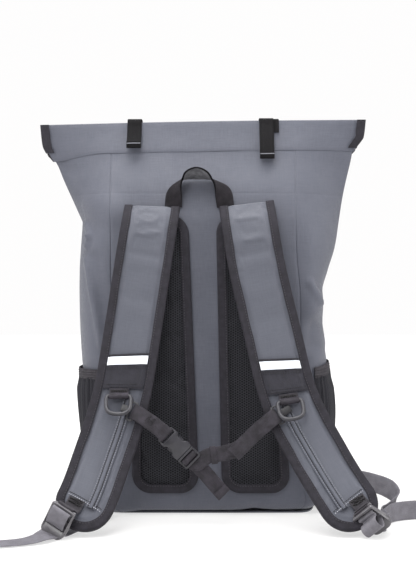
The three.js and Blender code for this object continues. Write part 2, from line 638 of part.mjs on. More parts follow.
function addPads() {
  const crown = (inset) => {
    const rows = [{ inset: 0, high: PAD_CROWN[0].high }, ...PAD_CROWN];
    const last = rows[rows.length - 1];
    if (inset >= last.inset) return last.high;
    const i = rows.findIndex((row, k) => inset >= row.inset && inset < rows[k + 1].inset);
    return mix(rows[i].high, rows[i + 1].high, (inset - rows[i].inset) / (rows[i + 1].inset - rows[i].inset));
  };
  for (const pad of PADS) {
    const inner = padEdge(pad, "inner");
    const outer = padEdge(pad, "outer");
    const point = (x, z, high) => vec(x, backY(x, z) - PAD.lift - high, z);
    const insets = [0, ...PAD_CROWN.map((row) => row.inset)];
    const cuts = padRows(pad).map((row) => row.cut);
    const grid = (height) => inner.map((stop, i) => {
      const wide = Math.abs(stop.x - outer[i].x);
      const fromEnd = Math.min(stop.z - pad.bottom, pad.top - stop.z);
      const scale = Math.min(1, wide / 2 / (PAD_CROWN[2].inset + 2));
      const near = insets.map((inset) => inset * scale);
      return [...near, ...near.map((inset) => wide - inset).reverse()].map((across) => {
        const x = mix(stop.x, outer[i].x, across / wide);
        const fromSide = Math.min(across, wide - across) + cuts[i];
        const inCorner = fromSide < PAD.radius && fromEnd < PAD.radius;
        const fromArc = PAD.radius - Math.hypot(PAD.radius - fromSide, PAD.radius - fromEnd);
        return point(x, stop.z, height(Math.max(0, inCorner ? fromArc : Math.min(fromSide, fromEnd))));
      });
    });
    addPiece(`back_pad_${pad.name}`, sheet(grid(crown), grid(() => PAD.edgeLow)), "mesh");
    const b = PAD_BINDING;
    const profile = [
      [-b.wide, 0], [GAP + TAPE, 0], [GAP + TAPE, b.high], [-b.wide, b.high],
      [-b.wide, b.high - TAPE], [GAP, b.high - TAPE], [GAP, TAPE - 0.1], [-b.wide, TAPE - 0.1],
    ];
    const outline = [...inner, ...outer.slice().reverse()];
    const rings = outline.map((stop) => profile.map(([out, high]) => {
      return point(stop.x + stop.nx * out, stop.z + stop.nz * out, high);
    }));
    addPiece(`back_pad_binding_${pad.name}`, loft(rings, null, true), "binding_tape");
  }
}

function addPockets() {
  const standOffs = { "-1": column(POCKET_BULGE, "z", "left"), 1: column(POCKET_BULGE, "z", "right") };
  const p = POCKET;
  const stops = Array.from({ length: p.last - p.first + 1 }, (_, i) => (p.first + i) / GUSSET_COLUMNS);
  const point = (side, q, z, out) => {
    const share = Math.sin((Math.PI * (q - stops[0])) / (stops[stops.length - 1] - stops[0]));
    const off = p.edge + p.bulge * Math.max(0, share) ** 0.8 * standOffs[side](z);
    return gussetPoint(side, q, z, -off - out);
  };
  for (const [name, side] of Object.entries(SIDES)) {
    const hem = POCKET_HEMS[name];
    const hemRise = (q) => hem.rise * Math.sin(Math.PI * q) ** 2;
    const bodyGrid = (out) => steps(0, 1, POCKET_LEVELS).map((v) => {
      return stops.map((q) => point(side, q, mix(p.bottom, hem.foot + hemRise(q), v), out));
    });
    addPiece(`side_pocket_${name}`, sheet(bodyGrid(p.wall), bodyGrid(0)), "mesh");
    const hemGrid = (out) => [0, 1].map((v) => {
      return stops.map((q) => point(side, q, mix(hem.foot + GAP, hem.top, v) + hemRise(q), out));
    });
    addPiece(`pocket_hem_${name}`, sheet(hemGrid(p.wall + 0.4), hemGrid(-0.2)), "binding_tape");
  }
}

// A shoulder strap as a place: distance along it, across it and out from its middle surface
function strapPlace(name) {
  const points = STRAP_PATHS[name].map((p) => vec(p.x, p.y, p.z));
  const path = new THREE.CatmullRomCurve3(points);
  const length = path.getLength();
  const frameAt = (s) => {
    const u = Math.min(Math.max(s / length, 0), 1);
    const along = path.getTangentAt(u);
    const at = path.getPointAt(u).addScaledVector(along, s - u * length);
    const across = vec(1, 0, 0);
    across.addScaledVector(along, -across.dot(along)).normalize();
    return { at, along, across, out: along.clone().cross(across) };
  };
  const point = (s, a, b) => {
    const frame = frameAt(s);
    return offset(frame, a, b);
  };
  return { name, side: SIDES[name], length, frameAt, point };
}

function strapFaceHeight(strap, s, a, full) {
  const start = strap.length - STRAP.half;
  const fromEdge = STRAP.half - (s > start ? Math.hypot(s - start, a) : Math.abs(a));
  const slack = s > start ? STRAP.endSlack : 0;
  const t = Math.min(Math.max((fromEdge - slack - STRAP.bound) / (STRAP.full - STRAP.bound), 0), 1);
  return mix(STRAP.edge, full, t);
}

function strapLevels(strap) {
  const start = strap.length - STRAP.half;
  const straight = STRAP_LEVELS.filter((s) => s < start - 8).map((s) => ({ s, half: STRAP.half }));
  const round = STRAP_END_ANGLES.map((degrees) => {
    const angle = THREE.MathUtils.degToRad(degrees);
    return { s: start + STRAP.half * Math.sin(angle), half: STRAP.half * Math.cos(angle) };
  });
  return [...straight, ...round];
}

function addStrap(strap) {
  const bound = 1 - STRAP.bound / STRAP.half;
  const full = 1 - STRAP.full / STRAP.half;
  const stops = [-1, -bound, -full, 0, full, bound, 1];
  const levels = strapLevels(strap);
  const grid = (sign, height) => levels.map(({ s, half }) => {
    return stops.map((f) => strap.point(s, f * half, sign * strapFaceHeight(strap, s, f * half, height)));
  });
  addPiece(`shoulder_strap_${strap.name}`, sheet(grid(1, STRAP.face), grid(-1, STRAP.back)), "coated_fabric");

  const start = strap.length - STRAP.half;
  const end = STRAP_END_ANGLES.map((degrees) => THREE.MathUtils.degToRad(degrees));
  const edge = [
    ...levels.filter(({ s }) => s < start).map(({ s }) => ({ s, a: -STRAP.half, ns: 0, na: -1 })),
    ...[...end, Math.PI / 2].map((angle) => roundStop(start, angle, -1)),
    ...end.slice().reverse().map((angle) => roundStop(start, angle, 1)),
    ...levels.filter(({ s }) => s < start).reverse().map(({ s }) => ({ s, a: STRAP.half, ns: 0, na: 1 })),
  ];
  const b = STRAP_BINDING;
  const inner = STRAP.edge + b.clear;
  const profile = turnedLeft([
    [-b.wide, -b.high], [b.side, -b.high], [b.side, b.high], [-b.wide, b.high],
    [-b.wide, inner], [GAP, inner], [GAP, -inner], [-b.wide, -inner],
  ]);
  const rings = edge.map((stop) => {
    return profile.map((p) => strap.point(stop.s + stop.ns * p.x, stop.a + stop.na * p.x, p.y));
  });
  addPiece(`strap_binding_${strap.name}`, loft(rings, profile), "binding_tape");

  const inside = STRAP.half - STRAP.bound;
  const flat = STRAP.half - STRAP.full;
  const slant = (a) => PATCH_SHIFT[strap.name] + strap.side * PATCH.slope * a;
  const cover = (from, to, lift, thick) => {
    const rows = steps(from, to, Math.ceil((to - from) / PATCH_STEP));
    const layer = (high) => rows.map((s) => [-inside, -flat, flat, inside].map((a) => {
      return strap.point(s + slant(a), a, strapFaceHeight(strap, s + slant(a), a, STRAP.face) + high);
    }));
    return sheet(layer(lift + thick), layer(lift));
  };
  addPiece(`strap_patch_${strap.name}`, cover(PATCH.from, PATCH.to, PATCH.lift, PATCH.thick), "webbing");
  const above = PATCH.lift + PATCH.thick + GAP;
  const strip = cover(REFLECTOR.from, REFLECTOR.to, above, REFLECTOR.thick);
  addPiece(`reflective_strip_${strap.name}`, strip, "reflective");

  const railHeight = STRAP.face + RAIL.lift + RAIL.radius;
  const railFrom = KEEPER_PLACES[strap.name].along + RAIL.belowRing;
  const stations = steps(railFrom, RAIL.to, RAIL.steps).map((s) => {
    return { at: strap.point(s, -strap.side * RAIL.inward, railHeight), across: strap.frameAt(s).across };
  });
  const rail = sweep(polygonSection(RAIL.radius, RAIL.sides), framesAlong(stations));
  addPiece(`sternum_rail_${strap.name}`, rail, "coated_fabric");
}

function roundStop(start, angle, side) {
  return {
    s: start + STRAP.half * Math.sin(angle), a: side * STRAP.half * Math.cos(angle),
    ns: Math.sin(angle), na: side * Math.cos(angle),
  };
}

// The frame of a strap turned about its outward direction, alike on both sides
function turnedFrame(strap, s, degrees) {
  const frame = strap.frameAt(s);
  const angle = THREE.MathUtils.degToRad(degrees) * strap.side;
  const along = frame.along.applyAxisAngle(frame.out, angle);
  const across = frame.across.applyAxisAngle(frame.out, angle);
  return { at: frame.at, along, across, out: frame.out };
}

// D-ring held by a keeper loop; it rests tilted over the rail and swings about its straight bar
function addRing(strap) {
  const k = KEEPER;
  const height = STRAP.face + GAP + k.outer + k.raise;
  const place = KEEPER_PLACES[strap.name];
  const frame = turnedFrame(strap, place.along, -k.turn);
  const at = strap.point(place.along, strap.side * place.outward, height);
  const shape = new THREE.Shape();
  shape.moveTo(-k.tail, -k.outer - k.raise + GAP);
  shape.lineTo(0, -k.outer);
  shape.absarc(0, 0, k.outer, -Math.PI / 2, Math.PI * 0.9, false);
  shape.lineTo(-k.tail, -k.outer - k.raise + GAP + WEBBING);
  shape.closePath();
  const hole = new THREE.Path();
  hole.absarc(0, 0, k.inner, 0, 2 * Math.PI, true);
  shape.holes.push(hole);
  const loop = new THREE.ExtrudeGeometry(shape, { depth: k.width, bevelEnabled: false, curveSegments: 8 });
  loop.translate(0, 0, -k.width / 2);
  const turned = { at, along: frame.along, across: frame.out, out: frame.across.clone().negate() };
  addPiece(`d_ring_keeper_${strap.name}`, loop, "webbing", turned);

  const tilt = THREE.MathUtils.degToRad(D_RING.tilt);
  const hang = frame.along.clone().multiplyScalar(Math.cos(tilt)).addScaledVector(frame.out, Math.sin(tilt));
  const normal = hang.clone().cross(frame.across);
  const stations = D_RING_LOOP.map(({ a, h }) => {
    return { at: at.clone().addScaledVector(frame.across, a).addScaledVector(hang, -h), across: normal };
  });
  const wire = sweep(polygonSection(D_RING.wire, D_RING.sides), framesAlong(stations, true), true);
  addPiece(`d_ring_${strap.name}`, wire, "hardware");
}

function sliderFrame(strap) {
  const c = SLIDER;
  const { along: from, reach } = SLIDER_PLACES[strap.name];
  const frame = turnedFrame(strap, from, c.turn);
  const inward = frame.across.clone().multiplyScalar(-strap.side);
  const at = strap.point(from, -strap.side * RAIL.inward, STRAP.face + RAIL.lift + RAIL.radius);
  const slotTo = reach - c.bar;
  const slotFrom = slotTo - c.slot;
  return { at, along: frame.along, inward, out: frame.out, slotFrom, slotTo, far: reach + c.bar };
}

function addSlider(strap) {
  const c = SLIDER;
  const place = sliderFrame(strap);
  const sign = -strap.side;
  const span = (from, to) => (sign > 0 ? [from, to] : [-to, -from]);
  const half = c.length / 2;
  const clip = c.clip / 2;
  const geometry = boxwork(
    [
      box([-clip, clip], [-c.clipHalf, c.clipHalf], [c.low, c.top]),
      box([-clip, clip], span(0, place.slotFrom), [c.roof, c.top]),
      box([-half, half], span(place.slotFrom - c.rim, place.far), [c.roof, c.top]),
    ],
    [
      box([-half, half], [-c.channel, c.channel], [c.low - 1, c.roof]),
      box([-c.slotHalf, c.slotHalf], span(place.slotFrom, place.slotTo), [c.low, c.top + 1]),
    ],
  );
  const across = place.inward.clone().multiplyScalar(sign);
  const frame = { at: place.at, along: place.along, across, out: place.out };
  addPiece(`sternum_slider_${strap.name}`, geometry, "hardware", frame);
}

function buckleFrame() {
  const along = vec(...BUCKLE.axis).normalize();
  const out = vec(0, -1, 0);
  return { at: vec(...BUCKLE.at), along, across: out.clone().cross(along), out };
}

function addBuckle() {
  const b = BUCKLE;
  const m = BUCKLE_MALE;
  const frame = buckleFrame();
  const wide = [-b.half, b.half];
  const female = boxwork(
    [box([0, b.slot + 3], wide, [-b.thin, b.thin]), box([b.slot, b.body], wide, [-b.height, b.height])],
    [
      box([b.bar, b.slot], [-b.slotHalf, b.slotHalf], [-b.height - 1, b.height + 1]),
      box([b.pocketFrom, b.body + 1], [-b.pocketHalf, b.pocketHalf], [-b.pocketHeight, b.pocketHeight]),
      box([b.windowFrom, b.windowTo], [b.half - b.windowDepth, b.half + 1], [-b.height - 1, b.height + 1]),
      box([b.windowFrom, b.windowTo], [-b.half - 1, -b.half + b.windowDepth], [-b.height - 1, b.height + 1]),
    ],
  );
  addPiece("buckle_female", female, "hardware", frame);
  const prong = (sign) => {
    const near = m.prongHalf - m.prongThick;
    const span = sign > 0 ? [near, m.prongHalf] : [-m.prongHalf, -near];
    return box([m.prongTo, m.from + 1], span, [-m.prongHeight, m.prongHeight]);
  };
  const male = boxwork(
    [
      box([m.from, m.slotA], wide, [-m.height, m.height]),
      box([m.slotA - 1, m.to], wide, [-b.thin, b.thin]),
      box([m.prongTo + 6, m.from + 1], [-m.tongueHalf, m.tongueHalf], [-m.prongHeight, m.prongHeight]),
      prong(1),
      prong(-1),
    ],
    [
      box([m.slotA, m.barA], [-m.slotHalf, m.slotHalf], [-b.height, b.height]),
      box([m.barB, m.slotB], [-m.slotHalf, m.slotHalf], [-b.height, b.height]),
    ],
  );
  addPiece("buckle_male", male, "hardware", frame);
}

// Webbing hooked round the bar of a slider, from under the bar to above it
function sliderHook(strap) {
  const c = SLIDER;
  const place = sliderFrame(strap);
  const middle = (c.roof + c.top) / 2;
  const clear = (c.top - c.roof) / 2 + WEBBING / 2 + 0.35;
  const { far, slotTo } = place;
  const near = slotTo - WEBBING / 2 - 0.4;
  const route = [
    [far + 5, middle - clear - 0.6], [slotTo + 0.2, middle - clear - 0.15],
    [near - 0.1, middle - clear * 0.7], [near - 0.2, middle], [near - 0.1, middle + clear * 0.7],
    [slotTo + 0.2, middle + clear + 0.15], [far + 2, middle + clear + 0.3],
  ];
  const across = place.along.clone().negate();
  return route.map(([inward, high]) => {
    const at = place.at.clone().addScaledVector(place.inward, inward).addScaledVector(place.out, high);
    return { at, across };
  });
}

function addSternum(straps) {
  const frame = buckleFrame();
  const b = BUCKLE;
  const m = BUCKLE_MALE;
  const clear = b.thin + WEBBING / 2 + 0.4;
  const place = ([along, high], across) => {
    const at = frame.at.clone().addScaledVector(frame.along, along).addScaledVector(frame.out, high);
    return { at, across };
  };
  const far = b.bar + WEBBING / 2 + 0.5;
  const femaleHook = [
    [-7, clear + 0.3], [b.bar - 0.2, clear + 0.15], [far + 0.1, clear * 0.7], [far + 0.2, 0],
    [far + 0.1, -clear * 0.7], [b.bar - 0.2, -clear - 0.15], [-6, -clear - 0.4],
  ].map((spot) => place(spot, frame.across));
  const left = [...sliderHook(straps.left), ...femaleHook];
  addPiece("sternum_webbing_left", ribbon(left, STERNUM_WIDTH, WEBBING), "webbing");

  const upright = vec(0, 0, 1);
  const middle = STERNUM_MIDDLE.map(({ x, z }) => ({ at: vec(x, STERNUM_DEPTH, z), across: upright }));
  const down = m.slotA + 1.7;
  const up = m.slotB - 1.9;
  const threading = [
    [m.to + 3, -clear - 0.5], [m.slotB, -clear], [up, -clear * 0.55], [up - 0.3, 0], [up - 0.5, clear * 0.5],
    [m.barB, clear + 0.2], [m.barA, clear + 0.2], [down + 0.3, clear * 0.5], [down, 0], [down, -clear * 1.2],
    [down + 1.8, -clear - 2.4], [m.slotB, -clear - 2.6], [m.to + 6, -clear - 2.6],
  ].map((spot) => place(spot, frame.across));
  const depth = frame.at.y + clear + 2.6;
  const tail = STERNUM_TAIL_END.map(({ x, z }) => ({ at: vec(x, depth, z), across: frame.across }));
  const hook = sliderHook(straps.right);
  const right = [...hook, ...middle, ...threading, ...tail];
  const turned = right.map(({ at, across }, i) => {
    const toward = right[Math.min(i + 1, right.length - 1)].at.clone().sub(right[Math.max(i - 1, 0)].at);
    const beside = vec(0, -1, 0).cross(toward);
    const chosen = i >= hook.length && i < hook.length + middle.length ? beside.normalize() : across;
    return { at, across: chosen.dot(across) < 0 && chosen !== across ? chosen.negate() : chosen };
  });
  addPiece("sternum_webbing_right", ribbon(turned, STERNUM_WIDTH, WEBBING), "webbing");

  const k = STERNUM_KEEPER;
  const inner = WEBBING / 2 + 0.4;
  const outer = inner + k.thick;
  const band = boxwork(
    [box([-k.width / 2, k.width / 2], [-k.half - k.thick, k.half + k.thick], [-outer, outer])],
    [box([-k.width, k.width], [-k.half, k.half], [-inner, inner])],
  );
  const from = STERNUM_MIDDLE[STERNUM_MIDDLE.length - 2];
  const along = vec(k.x - from.x, 0, k.z - from.z).normalize();
  const out = vec(0, -1, 0);
  const at = vec(mix(from.x, k.x, 0.5), STERNUM_DEPTH, mix(from.z, k.z, 0.5));
  addPiece("sternum_keeper", band, "webbing", { at, along, across: out.clone().cross(along), out });
}

function ladderFrame(name) {
  const place = LADDER_PLACES[name];
  const along = vec(...place.along).normalize();
  const across = vec(...place.across);
  across.addScaledVector(along, -across.dot(along)).normalize();
  return { at: vec(...place.at), along, across, out: along.clone().cross(across) };
}

function addLadder(strap) {
  const frame = ladderFrame(strap.name);
  const c = LADDER;
  const [low, high] = c.ends;
  const plate = new THREE.Shape();
  plate.moveTo(low, -c.half + c.corner);
  plate.lineTo(low + c.corner, -c.half);
  plate.lineTo(high - c.corner, -c.half);
  plate.lineTo(high, -c.half + c.corner);
  plate.lineTo(high, c.half - c.corner);
  plate.lineTo(high - c.corner, c.half);
  plate.lineTo(low + c.corner, c.half);
  plate.lineTo(low, c.half - c.corner);
  plate.closePath();
  for (const [from, to, half] of c.slots) {
    const slot = new THREE.Path();
    slot.moveTo(from, -half);
    slot.lineTo(from, half);
    slot.lineTo(to, half);
    slot.lineTo(to, -half);
    slot.closePath();
    plate.holes.push(slot);
  }
  const geometry = new THREE.ExtrudeGeometry(plate, { depth: 2 * c.thick, bevelEnabled: false });
  geometry.translate(0, 0, -c.thick);
  addPiece(`ladder_lock_${strap.name}`, geometry, "hardware", frame);

  const inLadder = ([along, high]) => ({
    at: frame.at.clone().addScaledVector(frame.along, along).addScaledVector(frame.out, high),
    across: frame.across,
  });
  const seat = [0, 14].map((more) => {
    const s = strap.length - TAB.from + more;
    const a = strap.side * TAB.outward;
    return { at: strap.point(s, a, STRAP.face + WEBBING / 2 + 0.9), across: strap.frameAt(s).across };
  });
  const tab = [...seat, ...TAB_HOOK.map(inLadder)];
  addPiece(`strap_tab_${strap.name}`, ribbon(tab, TAB.width, WEBBING), "webbing");

  const threading = THREADING[strap.name].map(inLadder);
  const first = threading[0].at;
  const last = threading[threading.length - 1].at;
  const free = (rows, guide) => {
    const points = rows.map((row) => vec(row.x, row.y, row.z));
    return rows.map((row, i) => {
      const before = i === 0 ? (guide === "tail" ? last : points[0]) : points[i - 1];
      const after = i === rows.length - 1 ? (guide === "tail" ? points[i] : first) : points[i + 1];
      const along = after.clone().sub(before).normalize();
      const flat = along.clone().cross(DOWN_AXIS).normalize();
      return { at: points[i], across: flat.applyAxisAngle(along, THREE.MathUtils.degToRad(row.turn)) };
    });
  };
  const anchored = free(LOWER_ANCHORED[strap.name], "anchored");
  const tail = free(LOWER_TAILS[strap.name], "tail");
  const stations = [...anchored, ...threading, ...tail];
  for (let i = 1; i < stations.length; i += 1) {
    const flipped = stations[i].across.dot(stations[i - 1].across) < 0;
    if (flipped) stations[i].across = stations[i].across.clone().negate();
  }
  addPiece(`lower_webbing_${strap.name}`, ribbon(stations, LOWER_WIDTH, WEBBING), "webbing");
}

addWalls();
addMouth();
addTopStraps();
addHandle();
addPads();
addPockets();
const straps = { left: strapPlace("left"), right: strapPlace("right") };
for (const strap of Object.values(straps)) {
  addStrap(strap);
  addRing(strap);
  addSlider(strap);
  addLadder(strap);
}
addBuckle();
addSternum(straps);

export default bag;
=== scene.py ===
# Looks of the roll-top dry bag backpack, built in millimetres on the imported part's own frame.
import math

import bmesh
import bpy
import numpy as np
from mathutils import Matrix, Vector, noise


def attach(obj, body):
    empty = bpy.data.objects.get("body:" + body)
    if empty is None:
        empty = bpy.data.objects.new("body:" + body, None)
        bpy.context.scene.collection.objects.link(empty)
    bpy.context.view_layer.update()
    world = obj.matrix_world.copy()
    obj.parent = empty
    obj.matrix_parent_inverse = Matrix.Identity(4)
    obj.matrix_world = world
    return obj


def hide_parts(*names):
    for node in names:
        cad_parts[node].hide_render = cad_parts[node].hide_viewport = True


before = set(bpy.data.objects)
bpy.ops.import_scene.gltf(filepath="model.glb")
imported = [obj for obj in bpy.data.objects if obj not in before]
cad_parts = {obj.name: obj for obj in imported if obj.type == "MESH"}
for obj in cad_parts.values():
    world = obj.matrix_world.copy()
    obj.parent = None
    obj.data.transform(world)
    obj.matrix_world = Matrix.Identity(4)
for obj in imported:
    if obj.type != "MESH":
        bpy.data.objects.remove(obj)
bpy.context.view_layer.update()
MM = 0.001
BAG = "bag"
SIDES = {"left": -1, "right": 1}
BACK = -1
FRONT = 1
TINY = 1e-9

# Camera of the photograph, its frame in pixels and its focal length in pixels
CAMERA_AT = (-4, -1575, 302)
FRAME_HIGH = 582
FOCAL = 1111
SENSOR = 36

# Studio lamps in metres and watts: place, width and height, power; and the light from all round
LAMPS = [
    ("left", (-2.3, -0.7, 1.3), (1.6, 2.0), 31),
    ("right", (2.4, -0.6, 1.2), (1.6, 2.0), 44),
    ("top", (-0.2, -0.3, 2.6), (2.2, 2.2), 98),
    ("front", (-0.7, -2.4, 1.9), (1.2, 1.2), 33),
]
LAMP_AIM = (0, 0, 0.3)
WORLD_LIGHT = 0.25
# The floor glows, painted light that lifts its shadows: weaker near the bag and full away from it, from and
# to this radius, with these strengths
FLOOR_GLOW = (0.2, 1.5, 0.55, 1.0)
FLOOR_COLOURS = ((0.36, 0.355, 0.35), (0.4, 0.395, 0.39))
FLOOR_REACH = 6.0
BACKGROUND = (0.99, 0.985, 0.985, 1)

# Bag sections from floor to mouth
SECTION_NAMES = ("z", "back", "front", "left", "right", "seam", "mid", "bow", "fold", "lip")
SECTIONS = np.array([
    (0, -64, 69, -147, 149, 121, 0, 1, 0, 0),
    (5, -70, 75, -154, 155, 125, 0, 1, 0, 0),
    (14, -73, 78, -158, 158, 127, 0, 2, 0, 0),
    (60, -75, 82, -168, 164, 127, -1, 3, 0, 0),
    (130, -76, 83, -174, 167, 127, -3, 4, 0, 0),
    (197, -75, 82, -180, 163.5, 127, -5, 4, 0, 0),
    (247, -75, 80, -183, 157.5, 127, -6, 4, 0, 0),
    (300, -75, 77, -185, 156.5, 127, -7, 3, 0, 0),
    (332, -75, 72, -185.5, 165, 126, -9, 3, 0.1, 0),
    (360, -74, 67, -184, 174, 125, -10, 2, 0.2, 0.5),
    (400, -70, 58, -181, 181, 125.4, -10.6, 2, 0.5, 1.2),
    (404, -69, 56.6, -183, 181.7, 125.5, -10.6, 2, 0.53, 1.3),
    (440, -58, 42, -200, 188, 126.4, -10.8, 2, 0.8, 2),
    (484, -36, 20, -220.5, 200, 127.6, -10.8, 2, 1, 2.8),
    (498, -30.5, 14.5, -229, 202, 127.6, -10.8, 2.5, 1, 2.8),
    (505, -28, 12, -232.5, 207, 127.6, -10.8, 2.8, 1, 2.8),
    (512, -25, 9, -234, 211.5, 127.6, -10.8, 3, 1, 2.8),
    (536, -17, 1, -236.5, 214.5, 127.6, -10.8, 4, 1, 2.8),
])
MOUTH = 536
WALL = 1.4
INNER_FLOOR = 0.2
# Powers of the gussets' round part, and the most that a fold widens them
GUSSET_ROUND = {"out": 0.75, "deep": 0.85, "bevel": 4}
# Heights of the cloth's rows: close together at the foot, then from, to and step
FOOT_ROWS = [0, 0.8, 2, 4, 7, 11, 16]
BODY_ROWS = (22, 480, 4.6)
HEM_ROWS = (482, MOUTH, 4.4)
# Columns of a panel and of a gusset: share at the seam, share where the even columns start, and their number
PANEL_COLUMNS = {"seam": 0.994, "from": 0.965, "count": 55}
GUSSET_COLUMNS = {"seam": 0.006, "from": 0.025, "count": 40}
# Base panel: shares of the foot's outline, gap at the floor, rise of its middle and thickness
BASE_SHARES = [0.965, 0.955, 0.93, 0.85, 0.7, 0.5, 0.3, 0.12]
BASE = {"clear": 0.05, "dish": 0.5, "reach": 0.2, "thick": 1.6}
# Lift of the back panel's lower edge off the floor: x and height, faded by depth and height
LOW_EDGE = [
    (-150, 0), (-125, 0.8), (-95, 4), (30, 4.5), (45, 5.5), (58, 7.5), (72, 6), (90, 5), (135, 6), (152, 9),
]
LOW_EDGE_DEPTH = (15, 50)
LOW_EDGE_HIGH = 34

# Soft folds: a line in x and z, half width, height (outward is positive), and the depth in y where they end.
# Those with no depth lie on the front of the bag.
FOLD_NAMES = ("x0", "z0", "x1", "z1", "wide", "high", "behind")
FOLDS = [
    (-170, 346, -148, 228, 7, 4.4, 10),
    (-157, 345, -138, 250, 15, -2.8, 10),
    (-172, 394, -166, 377, 5, 4.5, 10),
    (-166, 377, -170, 362, 5, 4.5, 10),
    (-158, 420, -130, 414, 34, 3.4, -30),
    (134, 313, 147, 286, 8, 4.5, 10),
    (141, 290, 141, 282, 24, 4.0, 10),
    (140, 252, 139, 230, 20, -5.5, 10),
    (150, 246, 158, 232, 14, 2.0, 10),
    (172, 470, 166, 455, 26, -2.4, 0),
    (-209, 482, -196, 470, 16, -2, 0),
    (-150, 120, -146, 40, 16, -2, 0),
    (148, 110, 140, 40, 18, -2, 0),
    (-60, 340, 20, 250, 60, -4, None),
    (70, 180, 20, 120, 60, -4, None),
]
FRONT_FOLDS_FROM = 20
CRUMPLE = ((95, 0.9), (38, 0.35))
# Folds grow from the floor up, and lose a share under the hem
CALM = {"foot": 30, "hem": (470, 500), "share": 0.6}

# Lean of the mouth line, and the dip of the hem's lower edge at its left end
MOUTH_LEAN = {"left": -1.0, "right": 6.5, "from": 436, "full": 486}
HEM_LOW = 492.3
HEM_PROUD = 0.7
HEM_DIP = {"x": -150, "reach": 76, "depth": 8}
HEM_WAVE = {"high": 0.8, "scale": 45, "fade": 30}
HEM_END = 1.5
HEM_COLUMNS = 141
# The welded line across the back panel
WELD = {"z": 435, "half": 1.0, "deep": 0.14, "rows": 5}
SEAM_DEPTH = 0.3
HEM_FLAP = 20
# Tape round the ends of the mouth, and the route of its loose end from the tape's foot
BINDING = {
    "from": 497, "over": 0.5, "rows": 26, "clear": 1.2, "slack": 0.5, "depth": 9, "wander": 1.2, "scale": 7,
    "thick": 1.1, "nose": 1.8, "inside": 0.6, "girth": 32, "end_width": 6.5, "end_thick": 1.6,
}
BINDING_END = [(1, 5, 3), (0.5, 6.5, -2), (-3, 8, -6), (-6.5, 9, -10)]

# Webbing draped over the mouth: height and distance from the panel
STRAP_FRONT = [(398, 2.2), (420, 2.2), (440, 2.4), (462, 2.6), (484, 3.2), (510, 3.2), (533, 3)]
TOP_STRAPS = {
    "left": {"x": -106.5, "crest": 541, "corner": (539, 2.6), "hang": [(530, 3.6), (517, 6), (502, 10.5)]},
    "right": {"x": 77.5, "crest": 539.2, "corner": (537.6, 3.8), "hang": [(529, 5), (508, 8), (484, 8.4)]},
}
TOP_WIDTH = 20
# Pale line across each top strap's folded end, drawn as a thread: a painted highlight of the fold's edge. Its
# offset, rise, radius and shortening
TOP_HIGHLIGHT_LINE = {"off": -5.1, "up": 2.4, "radius": 0.6, "short": 0.4}
# The folded end of each, from its lowest point: y and z
TOP_FOLD = [(-1.6, -3), (-3.6, -3.4), (-4.4, -1), (-3.6, 5)]
WEB = 1.5
WAVE_SCALE = 16
TAIL_RIGHT = {
    "x": 86, "width": 18, "inside": [(516, -4), (533, -4)],
    "crest": [(537.4, -3.4), (538, -1), (537.4, 1.4)], "outside": [(532, 2.1), (519, 2.4)],
}

# Grab handle: x, z and distance from the panel of the edge at the panel and of the edge held away
HANDLE_ROWS = np.array([
    (-63.7, 416, 2.2, -37.9, 416, 2.2),
    (-61.1, 433.3, 2.5, -38.4, 433, 13),
    (-50.4, 444.6, 2.5, -37.7, 450.2, 24),
    (-38.2, 453.2, 3, -32.3, 463, 30),
    (-19, 454.6, 3, -20.9, 469.3, 32),
    (0.1, 453.2, 3, -8.7, 463.8, 30),
    (13.8, 446, 2.5, -0.6, 452.9, 24),
    (28.7, 433.3, 2.5, 4.1, 437, 13),
    (32.6, 417, 2.2, 6.9, 416, 2.2),
], float)
# Handle webbing: thickness, cup, cloth width, and a lighter strip on its underside as painted light from
# below: span, width and lift
HANDLE = {
    "thick": 2.2, "cup": 1.6, "cloth": 12, "lit_underside_span": (0.3, 0.7), "lit_underside_wide": 0.9, "lit_underside_lift": 0.15,
}

# Cloth simulation of the padding
SWELL_FRAMES = 20
CLOTH = {
    "quality": 6, "mass": 0.15, "tension_stiffness": 25, "compression_stiffness": 25, "shear_stiffness": 8,
    "bending_stiffness": 0.6,
}

# Back pads: bottom, top, and x of the outer and inner sides at both ends
PADS = {
    "left": {"low": 31, "high": 404, "outer": (-105, -104), "inner": (-17, -32)},
    "right": {"low": 31, "high": 404, "outer": (106, 80), "inner": (16, 8)},
}
PAD = {
    "corner": 25, "clear": 0.6, "edge": 4.4, "crown": 8.5, "rise": (10, 27), "held": 11.5, "under": 1.0,
    "straight": 32,
}
# Points of a pad as simulated and as shown, and how it is blown up
PAD_GRID = (74, 22)
PAD_DENSE = (470, 118)
PAD_PUSH = {"pressure": 4.0, "most": 4.5, "grow": 0.01}
PAD_TAPE = {"wide": 11, "high": 6, "side": 1.3, "thick": 1.1, "low": 0.2, "pull": 0.7, "scale": 14}
# Tapes: radius of the folded edge, distance of the stitches from the inner edge, and their pitch
TAPE_NOSE = 1.2
TAPE_SEAM = 2
TAPE_STITCH = 3.6
MESH_PITCH = 3.0
MESH_DENT = {"deep": 0.45, "holes": (-0.6, 2.2), "edge": (9, 12)}

# Side pockets: share of the bulge that each height stands off the gusset
POCKET_HEIGHTS = np.array([24, 60, 95, 130, 165, 183, 206], float)
POCKET_OFF = {
    "left": np.array([0.05, 0.4, 0.6, 0.7, 0.6, 0.3, 0.2]),
    "right": np.array([0.05, 0.3, 0.42, 0.47, 0.36, 0.12, 0.05]),
}
POCKET = {
    "bulge": 13, "edge": 1.0, "low": 24, "from": 0.1, "to": 0.9, "columns": 121, "fade": 0.06,
    "cloth": (150, 170), "skin": (0.9, 0.1),
}
ELASTIC = {"welt": 0.35, "welts": 4, "pucker": 0.35, "skin": (1.5, -0.3), "cloth": 21}
POCKET_HEMS = {"left": {"foot": 183, "top": 196, "rise": 0}, "right": {"foot": 184, "top": 198, "rise": 7}}

